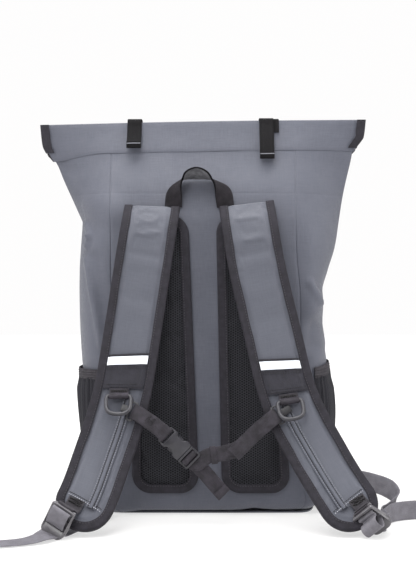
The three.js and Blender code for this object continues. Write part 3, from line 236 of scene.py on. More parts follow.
# Shoulder straps: centre lines, half width and layers
STRAP_PATHS = {
    "left": [
        (-79, -75.5, 416), (-82, -93, 392), (-90, -105, 338), (-102, -118, 254),
        (-117, -138, 162), (-138, -164, 91), (-156, -194, 40), (-173, -212, 12),
    ],
    "right": [
        (48.5, -75.5, 416), (51.5, -93, 392), (60, -105, 338), (79, -118, 254),
        (102, -138, 162), (138, -164, 91), (168, -194, 42), (190, -212, 14),
    ],
}
# Slant of a strap's top end: shift along it, slope against its width, and the length over which it fades
STRAP_TOP = {"left": (2.9, -0.047), "right": (-1.4, -0.053), "fade": 50}
STRAP_HALF = 36.2
STRAP_FACE = 5.0
STRAP_BACK = 4.4
STRAP_EDGE = 2.2
STRAP_BOUND = 11.3
# Where a strap's padding rises and is held, its points as simulated and as shown, and how it is blown up
STRAP_RISE = (9, 17)
STRAP_HELD = {"edge": 10.5, "top": 3}
STRAP_GRID = (110, 20)
STRAP_DENSE = (330, 60)
STRAP_PUSH = {"pressure": 2.5, "most": 1.6, "grow": 0.004}
# Share of the rows on the straight part, and the angle that the rest turn through
STRAP_STRAIGHT = 0.8
STRAP_TURN = 84
# Reach of the difference that gives a strap's direction, and the steps along its bound edge
FRAME_STEP = 1.5
EDGE_FROM = -1.5
EDGE_STEP = 3.2
# Creases across the straps' faces: distance along, slope, half width and height
STRAP_CREASES = {
    "left": [
        (74, 0.03, 9, -0.6), (87, 0.05, 12, 0.45), (28, -0.06, 14, 0.4), (150, 0.12, 18, 0.5),
        (132, 0.1, 14, -0.4),
    ],
    "right": [
        (72, -0.06, 9, -0.6), (85, -0.05, 12, 0.45), (44, 0.14, 12, -0.5), (122, 0.04, 18, 0.5),
        (162, -0.1, 16, -0.4),
    ],
}
STRAP_TAPE = {"wide": 10.2, "high": 3.8, "side": 1.4, "thick": 1.1}
# Unevenness of that tape: scale along it, and share
TAPE_WANDER = (26, 0.07)
TAPE_PUCKER = (7, 0.07)
# The patch and the fittings below it lie aslant: shift along each strap, and slope against its width
PATCH = (205, 252)
PATCH_SHIFT = {"left": 2.5, "right": 10.8}
PATCH_SLOPE = 0.18
REFLECTOR = (208.5, 219.5)
PATCH_SEAMS = (206.6, 222.5, 225, 249.5, 246)
PATCH_GRID = (30, 40)
# Stitches: pitch, share of it that is thread, and radius
PATCH_STITCH = (3.2,)
SEAM_STITCH = (3.3,)
# Ditch lines: almost unbroken dark thread in the ditches beside the piping and across the strap, painted
# shade of those creases
DITCH_SHADE_LINE = (3.0, 0.96, 0.5)
CROSS_DITCH_SHADE_LINE = (3.0, 0.96, 0.45)
PALE_STITCH = (3.0, 0.72, 0.5)
RAIL = {"short": 31, "inward": 10, "lift": 0.5, "ditch": 3.0, "seam": 4.6}
# Half of the section of the piping and its sewn flanges: across, and out from the strap
RAIL_HALF = [(6.2, -0.4), (6.2, 0.3), (5.8, 0.8), (3.9, 0.8), (3.2, 0.3), (2.6, 0.5), (2.4, 1.5), (1.4, 2.5)]
RAIL_SHAPE = np.array([(-x, y) for x, y in RAIL_HALF] + [(0, 2.8)] + RAIL_HALF[::-1])
KEEPER = {
    "inner": 2.7, "outer": 4, "raise": 1.7, "tail": 6.5, "width": 25, "turn": 12,
    "seat": 0.3, "past": 4, "loop": (-100, 160, 22), "thick": 1.3,
}
# Thick dark thread rows across the keeper: bar tacks that also paint the shadow under the patch's edge
KEEPER_TACK_SHADOW = {"rows": (6.2, 7.6), "half": 10.5, "sunk": 3.4, "radius": 0.8}
KEEPER_PLACES = {"left": {"along": 265.5, "outward": 2}, "right": {"along": 274, "outward": -3}}
RING_TILT = 20
RING_WIRE = 2.7
RING_LOOP = [
    (-13, 0), (-6, 0), (6, 0), (13, 0), (15.6, -2.8), (15.8, -10), (15.1, -17), (12, -23), (6, -25.8),
    (-6, -25.8), (-12, -23), (-15.1, -17), (-15.8, -10), (-15.6, -2.8),
]
CROSS_STITCH = {"from_end": 35, "slope": 0.14, "seam": 38}

# Sternum strap
SLIDER = {
    "turn": 8, "half": 13, "clip": 4.8, "clip_half": 5.4, "low": -1.2, "roof": 1.9, "top": 3.5,
    "bar": 1.6, "slot": 4.4, "rim": 1.8, "slot_half": 11, "jaw": 0.65, "ride": 1.6,
}
SLIDER_PLACES = {"left": {"along": 279.5, "reach": 13}, "right": {"along": 283, "reach": 17}}
STERNUM_WIDTH = 20
BUCKLE_AT = (-60, -151, 119.6)
BUCKLE_AXIS = (0.714, 0, -0.7)
BUCKLE = {"half": 13, "bar": 3.4, "slot": 8, "height": 4.2, "thin": 1.2, "slot_half": 10.8}
MALE = {
    "from": 36.4, "slot_a": 39.4, "bar_a": 43.8, "bar_b": 46.2, "slot_b": 50.4, "to": 53, "slot_half": 10.8,
}
# Upper half of the female body's outline with its corners' radii, and the male half's upper prong and ribs
BODY_LINE = [(0, 12), (8, 12.6), (11.5, 12.7), (14, 9.8), (19, 8.4), (24, 9.4), (27.5, 13.3), (36, 13)]
BODY_RADII = [2.5, 2, 1.5, 3, 4, 3, 1.5, 2.5]
PRONG = [(15, 8.6), (17.5, 10.6), (20.5, 11.2), (24, 10.4), (24, 8.2), (16, 7.2)]
PRONG_RIBS = {"at": (17.2, 19.2, 21.2, 23), "half": 0.45, "across": (8.4, 11.7)}
STERNUM_END = [
    (28.5, 92.5, -152.6), (36, 99.7, -153), (42.5, 106, -152.8), (47.5, 110.8, -150.4), (56, 119, -150.9),
]
STERNUM_MIDDLE = [(56, 119), (42, 105.5), (32, 98.5), (20, 94.6), (8, 92.4), (-3.5, 90.4)]
STERNUM_DEPTH = -149
STERNUM_TAIL = [(-6, 66), (5, 53), (16.2, 40.6)]
STERNUM_KEEPER = {"at": (3.25, 91.5), "width": 8, "half": 11.2, "high": 1.3}
# The tip folded back on the free end: along it, and out
STERNUM_FOLD = [(-9, 1.7), (-2, 1.7), (0.8, 1.2), (0.6, 0)]
# Bar tacks: half width, half depth and points of each zigzag
STERNUM_TACK = {"at": (0.42, 0.6), "zigzag": (8, 1.6, 11), "lift": 1.1}

# Ladder locks at the strap ends and the webbing threaded through them
LADDER_PLACES = {
    "left": {"at": (-184.8, -223, 24.8), "along": (-0.443, 0.193, -0.876), "across": (0.84, -0.25, -0.48)},
    "right": {"at": (196, -211, 24), "along": (0.77, 0.38, -0.51), "across": (0.6, -0.45, 0.66)},
}
LADDER = {
    "half": 16.5, "thick": 2, "ends": (-17, 22.6), "corners": [3, 11, 11, 3],
    "slots": ((-12, -3, 13.4), (2, 11, 12.9)),
}
LADDER_CURL = {"from": 8, "hood": 2.2, "lip": 6.4}
LADDER_PIN = {"at": (-14.6, -3.2), "radius": 1.6}
LOWER_WIDTH = 25
TAB = {"width": 22, "from": 33, "outward": 9.5, "seat": (-2, 6, 14), "lift": 0.9}
# Bar tacks on the tab, thick and dark: stitches that also paint the shade of their grooves
TAB_TACK_SHADE = {"at": (1, 5.5), "zigzag": (9, 1.7, 13), "lift": 1.35}
TAB_HOOK = [
    (-18.5, -0.4), (-14.6, -0.8), (-12.5, -1.8), (-12.1, -3.4), (-12.7, -5), (-14.8, -5.7), (-18, -5.2),
]
THREADING = {
    "left": [
        (18, -6), (8, -5.6), (-1, -5), (-6, -3.6), (-8, -1), (-9.5, 2), (-12.5, 5), (-14.5, 7.5), (-13, 9.8),
        (-8, 10.8), (-1, 10.4), (5, 8.6), (8, 6.2), (7.8, 3.8), (6.4, 1.6), (6.2, -0.6), (8, -2.9),
        (11, -3.4), (18, -3.3),
    ],
    "right": [
        (19, -7.4), (9, -5.9), (-1, -5), (-6, -3.6), (-8.6, -1), (-10.2, 2.2), (-9, 5.2), (-6, 5.2),
        (-4.8, 8), (-7.3, 12.6), (-7.2, 17.6), (-3.5, 21.6), (2, 22), (6.4, 18.8), (7.4, 13.6), (6, 8),
        (5.4, 3), (6, -0.5), (7.4, -3), (11, -3.3), (18, -3.3),
    ],
}
# Free stretches of the lower webbing: x, y, z and the turn of its width (0 flat, 90 on edge)
LOWER_ANCHORED = {
    "left": [
        (-140, -79, 20, 0), (-148, -110, 13, 0), (-162, -150, 5, 0), (-178, -190, 3, 0), (-190, -216, 4, 0),
    ],
    "right": [
        (150, -74, 50, 90), (185, -80, 50, 90), (214, -88, 46, 88), (236, -96, 39, 84), (244, -105, 31, 80),
        (241, -114, 21, 78), (229, -124, 13.5, 76), (217, -146, 14, 72), (212, -168, 15.5, 66),
    ],
}
LOWER_TAILS = {
    "left": [(-206, -242, 6.5, -6), (-222, -251, 3.8, -5), (-247, -261, 3.4, -4), (-270, -265, 3.4, -4)],
    "right": [
        (216, -184, 13.6, 78), (224, -156, 13.5, 88), (238, -126, 13.2, 90), (256, -113, 13, 90),
        (276, -106, 13, 90),
    ],
}


# Small mathematics

def mix(a, b, t):
    return a + (b - a) * t


def ramp(x, low, high):
    t = np.clip((x - low) / (high - low), 0, 1)
    return t * t * (3 - 2 * t)


def hump(distance, reach):
    t = np.minimum(np.abs(distance) / reach, 1)
    return np.cos(t * np.pi / 2) ** 2


def unit(v):
    v = np.asarray(v, float)
    return v / np.maximum(np.linalg.norm(v, axis=-1, keepdims=True), TINY)


def through(xs, ys):
    """A shape-keeping cubic through points, as a function."""
    xs = np.asarray(xs, float)
    ys = np.asarray(ys, float)
    rise = np.diff(ys) / np.diff(xs)
    slope = np.concatenate([rise[:1], np.zeros(len(xs) - 2), rise[-1:]])
    before = rise[:-1]
    after = rise[1:]
    turning = before * after <= 0
    total = np.where(turning, 1, before + after)
    slope[1:-1] = np.where(turning, 0, 2 * before * after / total)

    def at(x):
        x = np.clip(x, xs[0], xs[-1])
        i = np.clip(np.searchsorted(xs, x, side="right") - 1, 0, len(xs) - 2)
        h = xs[i + 1] - xs[i]
        t = (x - xs[i]) / h
        keep = (1 + 2 * t) * (1 - t) ** 2 * ys[i] + (3 - 2 * t) * t * t * ys[i + 1]
        return keep + h * t * (1 - t) * ((1 - t) * slope[i] - t * slope[i + 1])

    return at


def catmull(points, per_span=None, step=None, closed=False):
    """Points on the centripetal Catmull-Rom curve through points, so many a span or a step apart."""
    p = np.asarray(points, float)
    if closed:
        p = np.vstack([p[-1], p, p[:2]])
    else:
        p = np.vstack([2 * p[0] - p[1], p, 2 * p[-1] - p[-2]])
    out = []
    for a, b, c, d in zip(p[:-3], p[1:-2], p[2:-1], p[3:]):
        d0, d1, d2 = (max(np.linalg.norm(y - x), 1e-6) ** 0.5 for x, y in ((a, b), (b, c), (c, d)))
        m1 = ((b - a) / d0 - (c - a) / (d0 + d1) + (c - b) / d1) * d1
        m2 = ((c - b) / d1 - (d - b) / (d1 + d2) + (d - c) / d2) * d1
        count = per_span or max(3, int(np.ceil(np.linalg.norm(c - b) / step)))
        t = np.linspace(0, 1, count, endpoint=False)[:, None]
        out.append(b + m1 * t + (3 * (c - b) - 2 * m1 - m2) * t**2 + (2 * (b - c) + m1 + m2) * t**3)
    if not closed:
        out.append(p[-2][None])
    return np.vstack(out)


def lengths(points):
    steps = np.linalg.norm(np.diff(points, axis=0), axis=1)
    return np.concatenate([[0], np.cumsum(steps)])


def closed_lengths(outline):
    """Distances round a closed outline, with the whole way round last."""
    return np.concatenate([[0], np.cumsum(np.linalg.norm(np.roll(outline, -1, 0) - outline, axis=1))])


def at_lengths(points, where):
    s = lengths(points)
    return np.stack([np.interp(where, s, points[:, k]) for k in range(points.shape[1])], -1)


def tangents(points, closed=False):
    if closed:
        return unit(np.roll(points, -1, 0) - np.roll(points, 1, 0))
    return unit(np.gradient(points, axis=0))


def noise_at(points, scale, seed=0.0):
    flat = points.reshape(-1, 3) / scale + seed
    return np.array([noise.noise(Vector(p)) for p in flat]).reshape(points.shape[:-1])


def noise_row(*columns):
    """Noise at points given as columns of coordinates."""
    return np.array([noise.noise(Vector(p)) for p in zip(*np.broadcast_arrays(*columns))])


def every(vector, points):
    """One vector for every point."""
    return np.tile(vector, (len(points), 1))


# Mesh building

class Shape:
    """Vertices, faces and cloth coordinates gathered for one piece, in millimetres."""

    def __init__(self):
        self.points = []
        self.faces = []
        self.uvs = []
        self.count = 0

    def add(self, points, faces, uvs):
        self.points.append(np.asarray(points, float).reshape(-1, 3))
        self.faces.extend([[i + self.count for i in face] for face in faces])
        self.uvs.extend(uvs)
        self.count += len(self.points[-1])

    def grid(self, points, u, v, wrap=False):
        """A grid of points. wrap joins the last column to the first, and u then has one value more."""
        rows, columns = points.shape[:2]
        u = np.broadcast_to(u, (rows, columns + wrap))
        v = np.broadcast_to(np.asarray(v, float).reshape(rows, -1), (rows, columns + wrap))
        faces = []
        uvs = []
        for i in range(rows - 1):
            for j in range(columns - 1 + wrap):
                k = (j + 1) % columns
                faces.append((i * columns + j, i * columns + k, (i + 1) * columns + k, (i + 1) * columns + j))
                for a, b in ((i, j), (i, j + 1), (i + 1, j + 1), (i + 1, j)):
                    uvs.append((u[a, b], v[a, b]))
        self.add(points, faces, uvs)

    def cap(self, ring, u=0.0, v=0.0):
        self.add(ring, [list(range(len(ring)))], [(u, v)] * len(ring))

    def tube(self, rings, u, v, ends=(0.0, 0.0)):
        """Closed rings joined in a row, with both ends capped."""
        self.grid(rings, u, v, wrap=True)
        for ring, end in zip((rings[0], rings[-1]), ends):
            self.cap(ring, 0, end)

    def solid_grid(self, outer, inner, u, v):
        """Two grids joined along their four rims."""
        rows, columns = outer.shape[:2]
        u = np.broadcast_to(u, (rows, columns))
        v = np.broadcast_to(np.asarray(v, float).reshape(rows, -1), (rows, columns))
        around = np.concatenate([outer, inner[:, ::-1]], 1)
        u2 = np.concatenate([u, u[:, ::-1], u[:, :1]], 1)
        v2 = np.concatenate([v, v[:, ::-1], v[:, :1]], 1)
        self.grid(around, u2, v2, wrap=True)
        for i in (0, rows - 1):
            rim = np.stack([outer[i], inner[i]])
            self.grid(rim, np.stack([u[i], u[i]]), np.stack([v[i], v[i]]))

    def build(self, name, look, slot, replaced=(), body=BAG, sharp=None):
        mesh = bpy.data.meshes.new(name)
        mesh.from_pydata(np.vstack(self.points) * MM, [], self.faces)
        layer = mesh.uv_layers.new(name="Cloth")
        layer.uv.foreach_set("vector", (np.asarray(self.uvs, np.float32) * MM).ravel())
        work = bmesh.new()
        work.from_mesh(mesh)
        bmesh.ops.remove_doubles(work, verts=work.verts, dist=2e-6)
        bmesh.ops.recalc_face_normals(work, faces=work.faces)
        work.to_mesh(mesh)
        work.free()
        mesh.shade_smooth()
        if sharp is not None:
            mesh.set_sharp_from_angle(angle=math.radians(sharp))
        piece = bpy.data.objects.new(name, mesh)
        bpy.context.scene.collection.objects.link(piece)
        mesh.materials.append(look)
        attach(piece, body)
        if replaced:
            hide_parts(*replaced)
        return piece

    def dress(self, node, kind, look, slot, **more):
        """Builds the piece that stands for a node, named after it and what it is made of."""
        return self.build(f"{node}_{kind}", look, slot, [node], **more)


def rounded_section(width, thick, across=6, corner=3):
    """Closed outline (across, out) of a band with round edges."""
    half = width / 2 - thick / 2
    top = [(x, thick / 2) for x in np.linspace(-half, half, across)]
    turns = np.radians(np.linspace(90, -90, corner + 2)[1:-1])
    right = [(half + thick / 2 * math.cos(a), thick / 2 * math.sin(a)) for a in turns]
    bottom = [(-x, -y) for x, y in top]
    left = [(-x, -y) for x, y in right]
    return np.array(top + right + bottom + left)


def circle_section(radius, sides):
    a = np.linspace(0, 2 * np.pi, sides, endpoint=False)
    return np.stack([radius * np.cos(a), radius * np.sin(a)], -1)


def frames_on(points, across, closed=False):
    along = tangents(points, closed)
    across = unit(across - along * np.sum(across * along, -1, keepdims=True))
    return along, across, np.cross(along, across)


def sweep(shape, points, across, section, closed=False):
    """A closed section (across, out) carried along points."""
    _, side, out = frames_on(points, across, closed)
    rings = points[:, None] + (section[None, :, :1] * side[:, None] + section[None, :, 1:] * out[:, None])
    v = lengths(points)
    u = np.concatenate([section[:, 0], section[:1, 0]]) if len(section) > 10 else closed_lengths(section)
    if closed:
        rings = np.concatenate([rings, rings[:1]])
        v = np.concatenate([v, [v[-1] + np.linalg.norm(points[-1] - points[0])]])
        shape.grid(rings, u, v, wrap=True)
    else:
        shape.tube(rings, u, v, (v[0], v[-1]))


def ribbon(shape, stations, across, width, thick=WEB, step=1.6, wave=0.0):
    """Webbing through stations, with its width along across."""
    stations = np.asarray(stations, float)
    dense = catmull(stations, step=step)
    at = nearest_lengths(dense, stations)
    side = np.stack([np.interp(lengths(dense), at, column) for column in np.asarray(across, float).T], -1)
    if wave:
        out = frames_on(dense, side)[2]
        dense = dense + out * (wave * noise_at(dense, WAVE_SCALE))[:, None]
    sweep(shape, dense, side, rounded_section(width, thick))


def nearest_lengths(dense, points):
    s = lengths(dense)
    found = []
    start = 0
    for p in points:
        near = np.linalg.norm(dense[start:] - p, axis=1)
        start += int(np.argmin(near[: max(60, len(near) // 3)]))
        found.append(s[start])
    return np.array(found)


def stitches(shape, points, normals, pitch=3.4, share=0.68, radius=0.42, lift=0.15):
    """A row of thread stitches lying on a surface."""
    s = lengths(points)
    count = max(1, int(s[-1] / pitch))
    middles = (np.arange(count) + 0.5) * s[-1] / count
    half = share * pitch / 2
    along = unit(at_lengths(points, np.minimum(middles + half, s[-1])) - at_lengths(points, middles - half))
    up = unit(at_lengths(np.hstack([points, normals]), middles)[:, 3:])
    side = unit(np.cross(along, up))
    at = at_lengths(points, middles) + up * lift
    profile = [(-1, 0.25, -0.8), (-0.55, 0.95, 0), (0, 1.1, 0.25), (0.55, 0.95, 0), (1, 0.25, -0.8)]
    turns = np.linspace(0, 2 * np.pi, 6, endpoint=False)
    for k in range(count):
        rings = np.array([
            [
                at[k] + along[k] * a * half
                + up[k] * radius * (h + r * math.sin(t))
                + side[k] * radius * r * math.cos(t)
                for t in turns
            ]
            for a, r, h in profile
        ])
        shape.tube(rings, np.zeros(len(turns) + 1), np.zeros(len(profile)))


def zigzag(half, deep, count):
    """Points of a zigzag: across, and to and fro along."""
    return [(x, deep if k % 2 else -deep) for k, x in enumerate(np.linspace(-half, half, count))]


# Looks

class Look:
    """A procedural material under construction."""

    def __init__(self, name):
        self.material = bpy.data.materials.new(name)
        self.material.use_nodes = True
        self.tree = self.material.node_tree
        self.shader = self.tree.nodes["Principled BSDF"]

    def node(self, kind, inputs=None, **settings):
        made = self.tree.nodes.new(kind)
        for key, value in settings.items():
            setattr(made, key, value)
        for key, value in (inputs or {}).items():
            self.feed(made.inputs[key], value)
        return made

    def feed(self, socket, value):
        if isinstance(value, bpy.types.NodeSocket):
            self.tree.links.new(value, socket)
        else:
            socket.default_value = value

    def math(self, operation, a, b=0.0):
        made = self.node("ShaderNodeMath", operation=operation)
        self.feed(made.inputs[0], a)
        self.feed(made.inputs[1], b)
        return made.outputs[0]

    def cloth(self):
        """Cloth coordinates in metres: across and along."""
        made = self.node("ShaderNodeUVMap", uv_map="Cloth")
        parts = self.node("ShaderNodeSeparateXYZ", {"Vector": made.outputs["UV"]})
        return parts.outputs[0], parts.outputs[1]

    def stretched(self, u, v, per_u, per_v):
        made = self.node("ShaderNodeCombineXYZ")
        self.feed(made.inputs[0], self.math("MULTIPLY", u, per_u))
        self.feed(made.inputs[1], self.math("MULTIPLY", v, per_v))
        return made.outputs[0]

    def wave(self, value, pitch):
        return self.math("COSINE", self.math("MULTIPLY", value, 2 * math.pi / pitch))

    def noise(self, scale, detail=3.0, vector=None, roughness=0.55):
        made = self.node("ShaderNodeTexNoise", {"Scale": scale, "Detail": detail, "Roughness": roughness})
        if vector is None:
            vector = self.node("ShaderNodeTexCoord").outputs["Object"]
        self.feed(made.inputs["Vector"], vector)
        return made.outputs["Fac"]

    def spread(self, value, low, high, to_low=0.0, to_high=1.0):
        limits = {"From Min": low, "From Max": high, "To Min": to_low, "To Max": to_high}
        made = self.node("ShaderNodeMapRange", limits)
        self.feed(made.inputs["Value"], value)
        return made.outputs[0]

    def blend(self, factor, a, b):
        made = self.node("ShaderNodeMix", data_type="RGBA")
        self.feed(made.inputs["Factor"], factor)
        self.feed(made.inputs["A"], a if isinstance(a, bpy.types.NodeSocket) else (*a, 1))
        self.feed(made.inputs["B"], b if isinstance(b, bpy.types.NodeSocket) else (*b, 1))
        return made.outputs["Result"]

    def bump(self, height, distance, strength=1.0, under=None):
        made = self.node("ShaderNodeBump", {"Height": height, "Distance": distance, "Strength": strength})
        if under is not None:
            self.feed(made.inputs["Normal"], under)
        return made.outputs["Normal"]

    def finish(self, colour, roughness, normal=None, **constants):
        self.feed(self.shader.inputs["Base Color"], colour)
        self.feed(self.shader.inputs["Roughness"], roughness)
        if normal is not None:
            self.feed(self.shader.inputs["Normal"], normal)
        for key, value in constants.items():
            self.shader.inputs[key.replace("_", " ")].default_value = value
        return self.material


def tint(hexed):
    """A colour given as sRGB hex, in linear light."""
    parts = [int(hexed[i : i + 2], 16) / 255 for i in (0, 2, 4)]
    return tuple(p / 12.92 if p <= 0.04045 else ((p + 0.055) / 1.055) ** 2.4 for p in parts)


def coated_look(name, light, dark, weave=0.9, shine=0.52):
    """Coated woven cloth: plain weave, slubs along both threads, slow mottling."""
    look = Look(name)
    u, v = look.cloth()
    plain = look.math("MULTIPLY", look.wave(u, weave * MM), look.wave(v, weave * MM))
    slub_u = look.noise(1.0, 2.0, look.stretched(u, v, 700, 55))
    slub_v = look.noise(1.0, 2.0, look.stretched(u, v, 55, 700))
    slubs = look.math("ADD", slub_u, slub_v)
    mottle = look.noise(26.0, 4.0)
    tone = look.math("ADD", look.math("MULTIPLY", slubs, 0.55), look.math("MULTIPLY", mottle, 0.5))
    tone = look.math("ADD", tone, look.math("MULTIPLY", plain, 0.05))
    colour = look.blend(look.spread(tone, 0.55, 1.05), dark, light)
    rough = look.spread(look.noise(60.0, 3.0), 0.3, 0.7, shine - 0.06, shine + 0.08)
    fine = look.bump(plain, 0.00012, 0.55)
    normal = look.bump(slubs, 0.00025, 0.35, fine)
    return look.finish(colour, rough, normal, Specular_IOR_Level=0.38, Sheen_Weight=0.12, Sheen_Roughness=0.5)


def ribbed_look(name, light, dark, pitch=1.3, shine=0.72):
    """Grosgrain tape: ribs across, lighter on their crests."""
    look = Look(name)
    u, v = look.cloth()
    rib = look.wave(v, pitch * MM)
    thread = look.wave(u, 0.6 * MM)
    wear = look.noise(140.0, 4.0)
    tone = look.math("ADD", look.math("MULTIPLY", rib, 0.16), look.math("MULTIPLY", wear, 1.0))
    colour = look.blend(look.spread(tone, 0.25, 0.8), dark, light)
    height = look.math("ADD", rib, look.math("MULTIPLY", thread, 0.25))
    normal = look.bump(height, 0.0002, 0.6)
    rough = look.spread(wear, 0.3, 0.7, shine - 0.08, shine + 0.08)
    return look.finish(colour, rough, normal, Specular_IOR_Level=0.2)


def webbing_look(name, light, dark, shine=0.6, gloss=0.25):
    """Webbing: herringbone of two diagonals, with a plain selvedge ridge along its lines."""
    look = Look(name)
    u, v = look.cloth()
    lane = look.math("PINGPONG", u, 2.5 * MM)
    chevron = look.wave(look.math("ADD", v, look.math("MULTIPLY", lane, 1.6)), 1.9 * MM)
    cords = look.wave(u, 2.5 * MM)
    wear = look.noise(110.0, 4.0)
    tone = look.math("ADD", look.math("MULTIPLY", chevron, 0.16), look.math("MULTIPLY", wear, 1.1))
    colour = look.blend(look.spread(tone, 0.3, 0.9), dark, light)
    height = look.math("ADD", chevron, look.math("MULTIPLY", cords, 0.5))
    normal = look.bump(height, 0.00025, 0.6)
    rough = look.spread(wear, 0.3, 0.7, shine - 0.08, shine + 0.1)
    return look.finish(colour, rough, normal, Specular_IOR_Level=gloss)


def mesh_look(name, light, dark, pitch=MESH_PITCH):
    """Spacer mesh: a lattice of holes between knitted strands, the holes painted near black as shade."""
    look = Look(name)
    u, v = look.cloth()
    half_u = look.math("MULTIPLY", u, 0.5)
    high_v = look.math("MULTIPLY", v, math.sqrt(3) / 2)
    first = look.wave(look.math("ADD", half_u, high_v), pitch * MM)
    second = look.wave(look.math("SUBTRACT", half_u, high_v), pitch * MM)
    third = look.wave(u, pitch * MM)
    holes = look.math("ADD", look.math("ADD", first, second), third)
    strands = look.spread(holes, -1.0, 1.6, 1.0, 0.0)
    fuzz = look.noise(900.0, 3.0)
    tone = look.math("MULTIPLY", strands, look.spread(fuzz, 0.3, 0.7, 0.65, 1.1))
    colour = look.blend(tone, dark, light)
    normal = look.bump(look.math("ADD", strands, look.math("MULTIPLY", fuzz, 0.3)), 0.0004, 0.6)
    return look.finish(colour, look.spread(strands, 0, 1, 0.95, 0.7), normal, Specular_IOR_Level=0.25)


def moulded_look(name, light, dark, shine=0.36):
    """Moulded plastic: fine spark-eroded grain, faint rubbing marks."""
    look = Look(name)
    grain = look.noise(1600.0, 2.0)
    rub = look.noise(70.0, 5.0)
    colour = look.blend(look.spread(rub, 0.3, 0.75), dark, light)
    rough = look.spread(rub, 0.3, 0.7, shine - 0.05, shine + 0.1)
    normal = look.bump(grain, 0.00006, 0.5)
    return look.finish(colour, rough, normal, Specular_IOR_Level=0.5)


def reflective_look(name):
    """Reflective tape: pale glass-bead film with a fine grid of embossed cells."""
    look = Look(name)
    u, v = look.cloth()
    cells = look.math("MAXIMUM", look.wave(u, 2.2 * MM), look.wave(v, 2.2 * MM))
    beads = look.noise(1500.0, 2.0)
    tone = look.math("ADD", look.math("MULTIPLY", cells, 0.12), look.math("MULTIPLY", beads, 0.4))
    colour = look.blend(look.spread(tone, 0.0, 0.45), (0.84, 0.87, 0.93), (0.74, 0.77, 0.85))
    normal = look.bump(cells, 0.00008, 0.4)
    return look.finish(colour, look.spread(beads, 0.3, 0.7, 0.3, 0.42), normal, Specular_IOR_Level=0.6)


def thread_look(name, light, dark):
    look = Look(name)
    twist = look.noise(2200.0, 2.0)
    colour = look.blend(look.spread(twist, 0.3, 0.7), dark, light)
    normal = look.bump(twist, 0.0001, 0.5)
    return look.finish(colour, look.spread(twist, 0.3, 0.7, 0.55, 0.75), normal, Specular_IOR_Level=0.35)


BODY_LOOK = coated_look("coated_cloth", tint("555762"), tint("4a4c57"))
STRAP_LOOK = coated_look("strap_cloth", tint("53555f"), tint("4a4c56"))
TAPE_LOOK = ribbed_look("binding_tape", tint("333138"), tint("1e1c21"))
ELASTIC_LOOK = ribbed_look("pocket_elastic", tint("48454a"), tint("2c2a2e"))
WEB_LOOK = webbing_look("webbing", tint("423e46"), tint("201e22"))
# The handle's webbing is a darker copy of the webbing: painted shade on its sides
SHADED_HANDLE_LOOK = webbing_look("handle_webbing", tint("322f33"), tint("1c1a1d"), 0.75, 0.1)
LIT_UNDERSIDE_LOOK = ribbed_look("handle_lining", tint("77777b"), tint("3a3a3e"))
TOP_LOOK = webbing_look("top_webbing", tint("151316"), tint("0a090b"), 0.66, 0.14)
LOWER_LOOK = webbing_look("lower_webbing", tint("7e7c83"), tint("636167"))
PATCH_LOOK = webbing_look("patch_webbing", tint("35343c"), tint("222128"))
# The meshes' second colours are near black: painted shade in their holes
PAD_LOOK = mesh_look("pad_mesh", tint("2b2b31"), tint("020203"))
POCKET_LOOK = mesh_look("pocket_mesh", tint("2b2a31"), tint("0e0e11"), 1.7)
HARD_LOOK = moulded_look("moulded_plastic", tint("36353b"), tint("222126"), 0.34)
SLIDER_LOOK = moulded_look("slider_plastic", tint("2f2e32"), tint("201f22"), 0.34)
# A lighter copy of the moulded plastic for the ladder locks: painted highlight
LOCK_HIGHLIGHT_LOOK = moulded_look("lock_plastic", tint("6b696d"), tint("514f53"), 0.24)
TAB_LOOK = webbing_look("tab_webbing", tint("454247"), tint("323035"))
WHITE_LOOK = reflective_look("reflective_tape")
PALE_THREAD = thread_look("pale_thread", tint("b4b5bd"), tint("95969e"))
# Pale grey thread for the rail's seams, and for the painted highlight lines on the top straps
RAIL_THREAD_AND_HIGHLIGHT = thread_look("rail_thread", tint("8a8b93"), tint("6b6c74"))
# Dark thread for stitches, also for painted shade lines and shadow strips
DARK_THREAD_AND_SHADE = thread_look("dark_thread", tint("1e1c1d"), tint("100f10"))
TAPE_THREAD = thread_look("tape_thread", tint("454247"), tint("2d2b2f"))


# Bag surfaces

COLUMNS = {name: through(SECTIONS[:, 0], SECTIONS[:, k]) for k, name in enumerate(SECTION_NAMES) if k}


def section(z):
    return {name: at(z) for name, at in COLUMNS.items()}


def panel(face, t, z, out=0.0):
    """A panel from its left seam (t -1) to its right seam (t 1)."""
    s = section(z)
    push = out + s["bow"] * np.maximum(0, 1 - t * t)
    y = s["back"] - push if face == BACK else s["front"] + push
    return np.stack(np.broadcast_arrays(s["mid"] + t * s["seam"], y, z), -1)


def gusset(side, q, z, out=0.0):
    """A side gusset from the back seam (q 0) to the front seam (q 1)."""
    s = section(z)
    end = s["right"] if side > 0 else s["left"]
    reach = np.abs(end - s["mid"]) - s["seam"]
    half = (s["front"] - s["back"]) / 2 + out
    angle = np.pi * (q - 0.5)
    round_out = np.maximum(0, np.cos(angle)) ** GUSSET_ROUND["out"]
    round_deep = np.sign(angle) * np.abs(np.sin(angle)) ** GUSSET_ROUND["deep"]
    away = mix(round_out, 1 - np.abs(2 * q - 1), s["fold"])
    deep = mix(round_deep, 2 * q - 1, s["fold"])
    bevel = mix(1, np.minimum(GUSSET_ROUND["bevel"], np.hypot(1, reach / half)), s["fold"])
    lip_deep = np.maximum(0, s["lip"] + out)
    depth = np.sign(deep) * (lip_deep + (half - lip_deep) * np.abs(deep))
    x = s["mid"] + side * (s["seam"] + (reach + out * bevel) * away)
    return np.stack(np.broadcast_arrays(x, (s["back"] + s["front"]) / 2 + depth, z), -1)


def wall_y(face, x, z):
    """Depth of a panel at x and z."""
    z = np.asarray(z, float)
    s = section(z)
    return panel(face, (x - s["mid"]) / s["seam"], z)[..., 1]


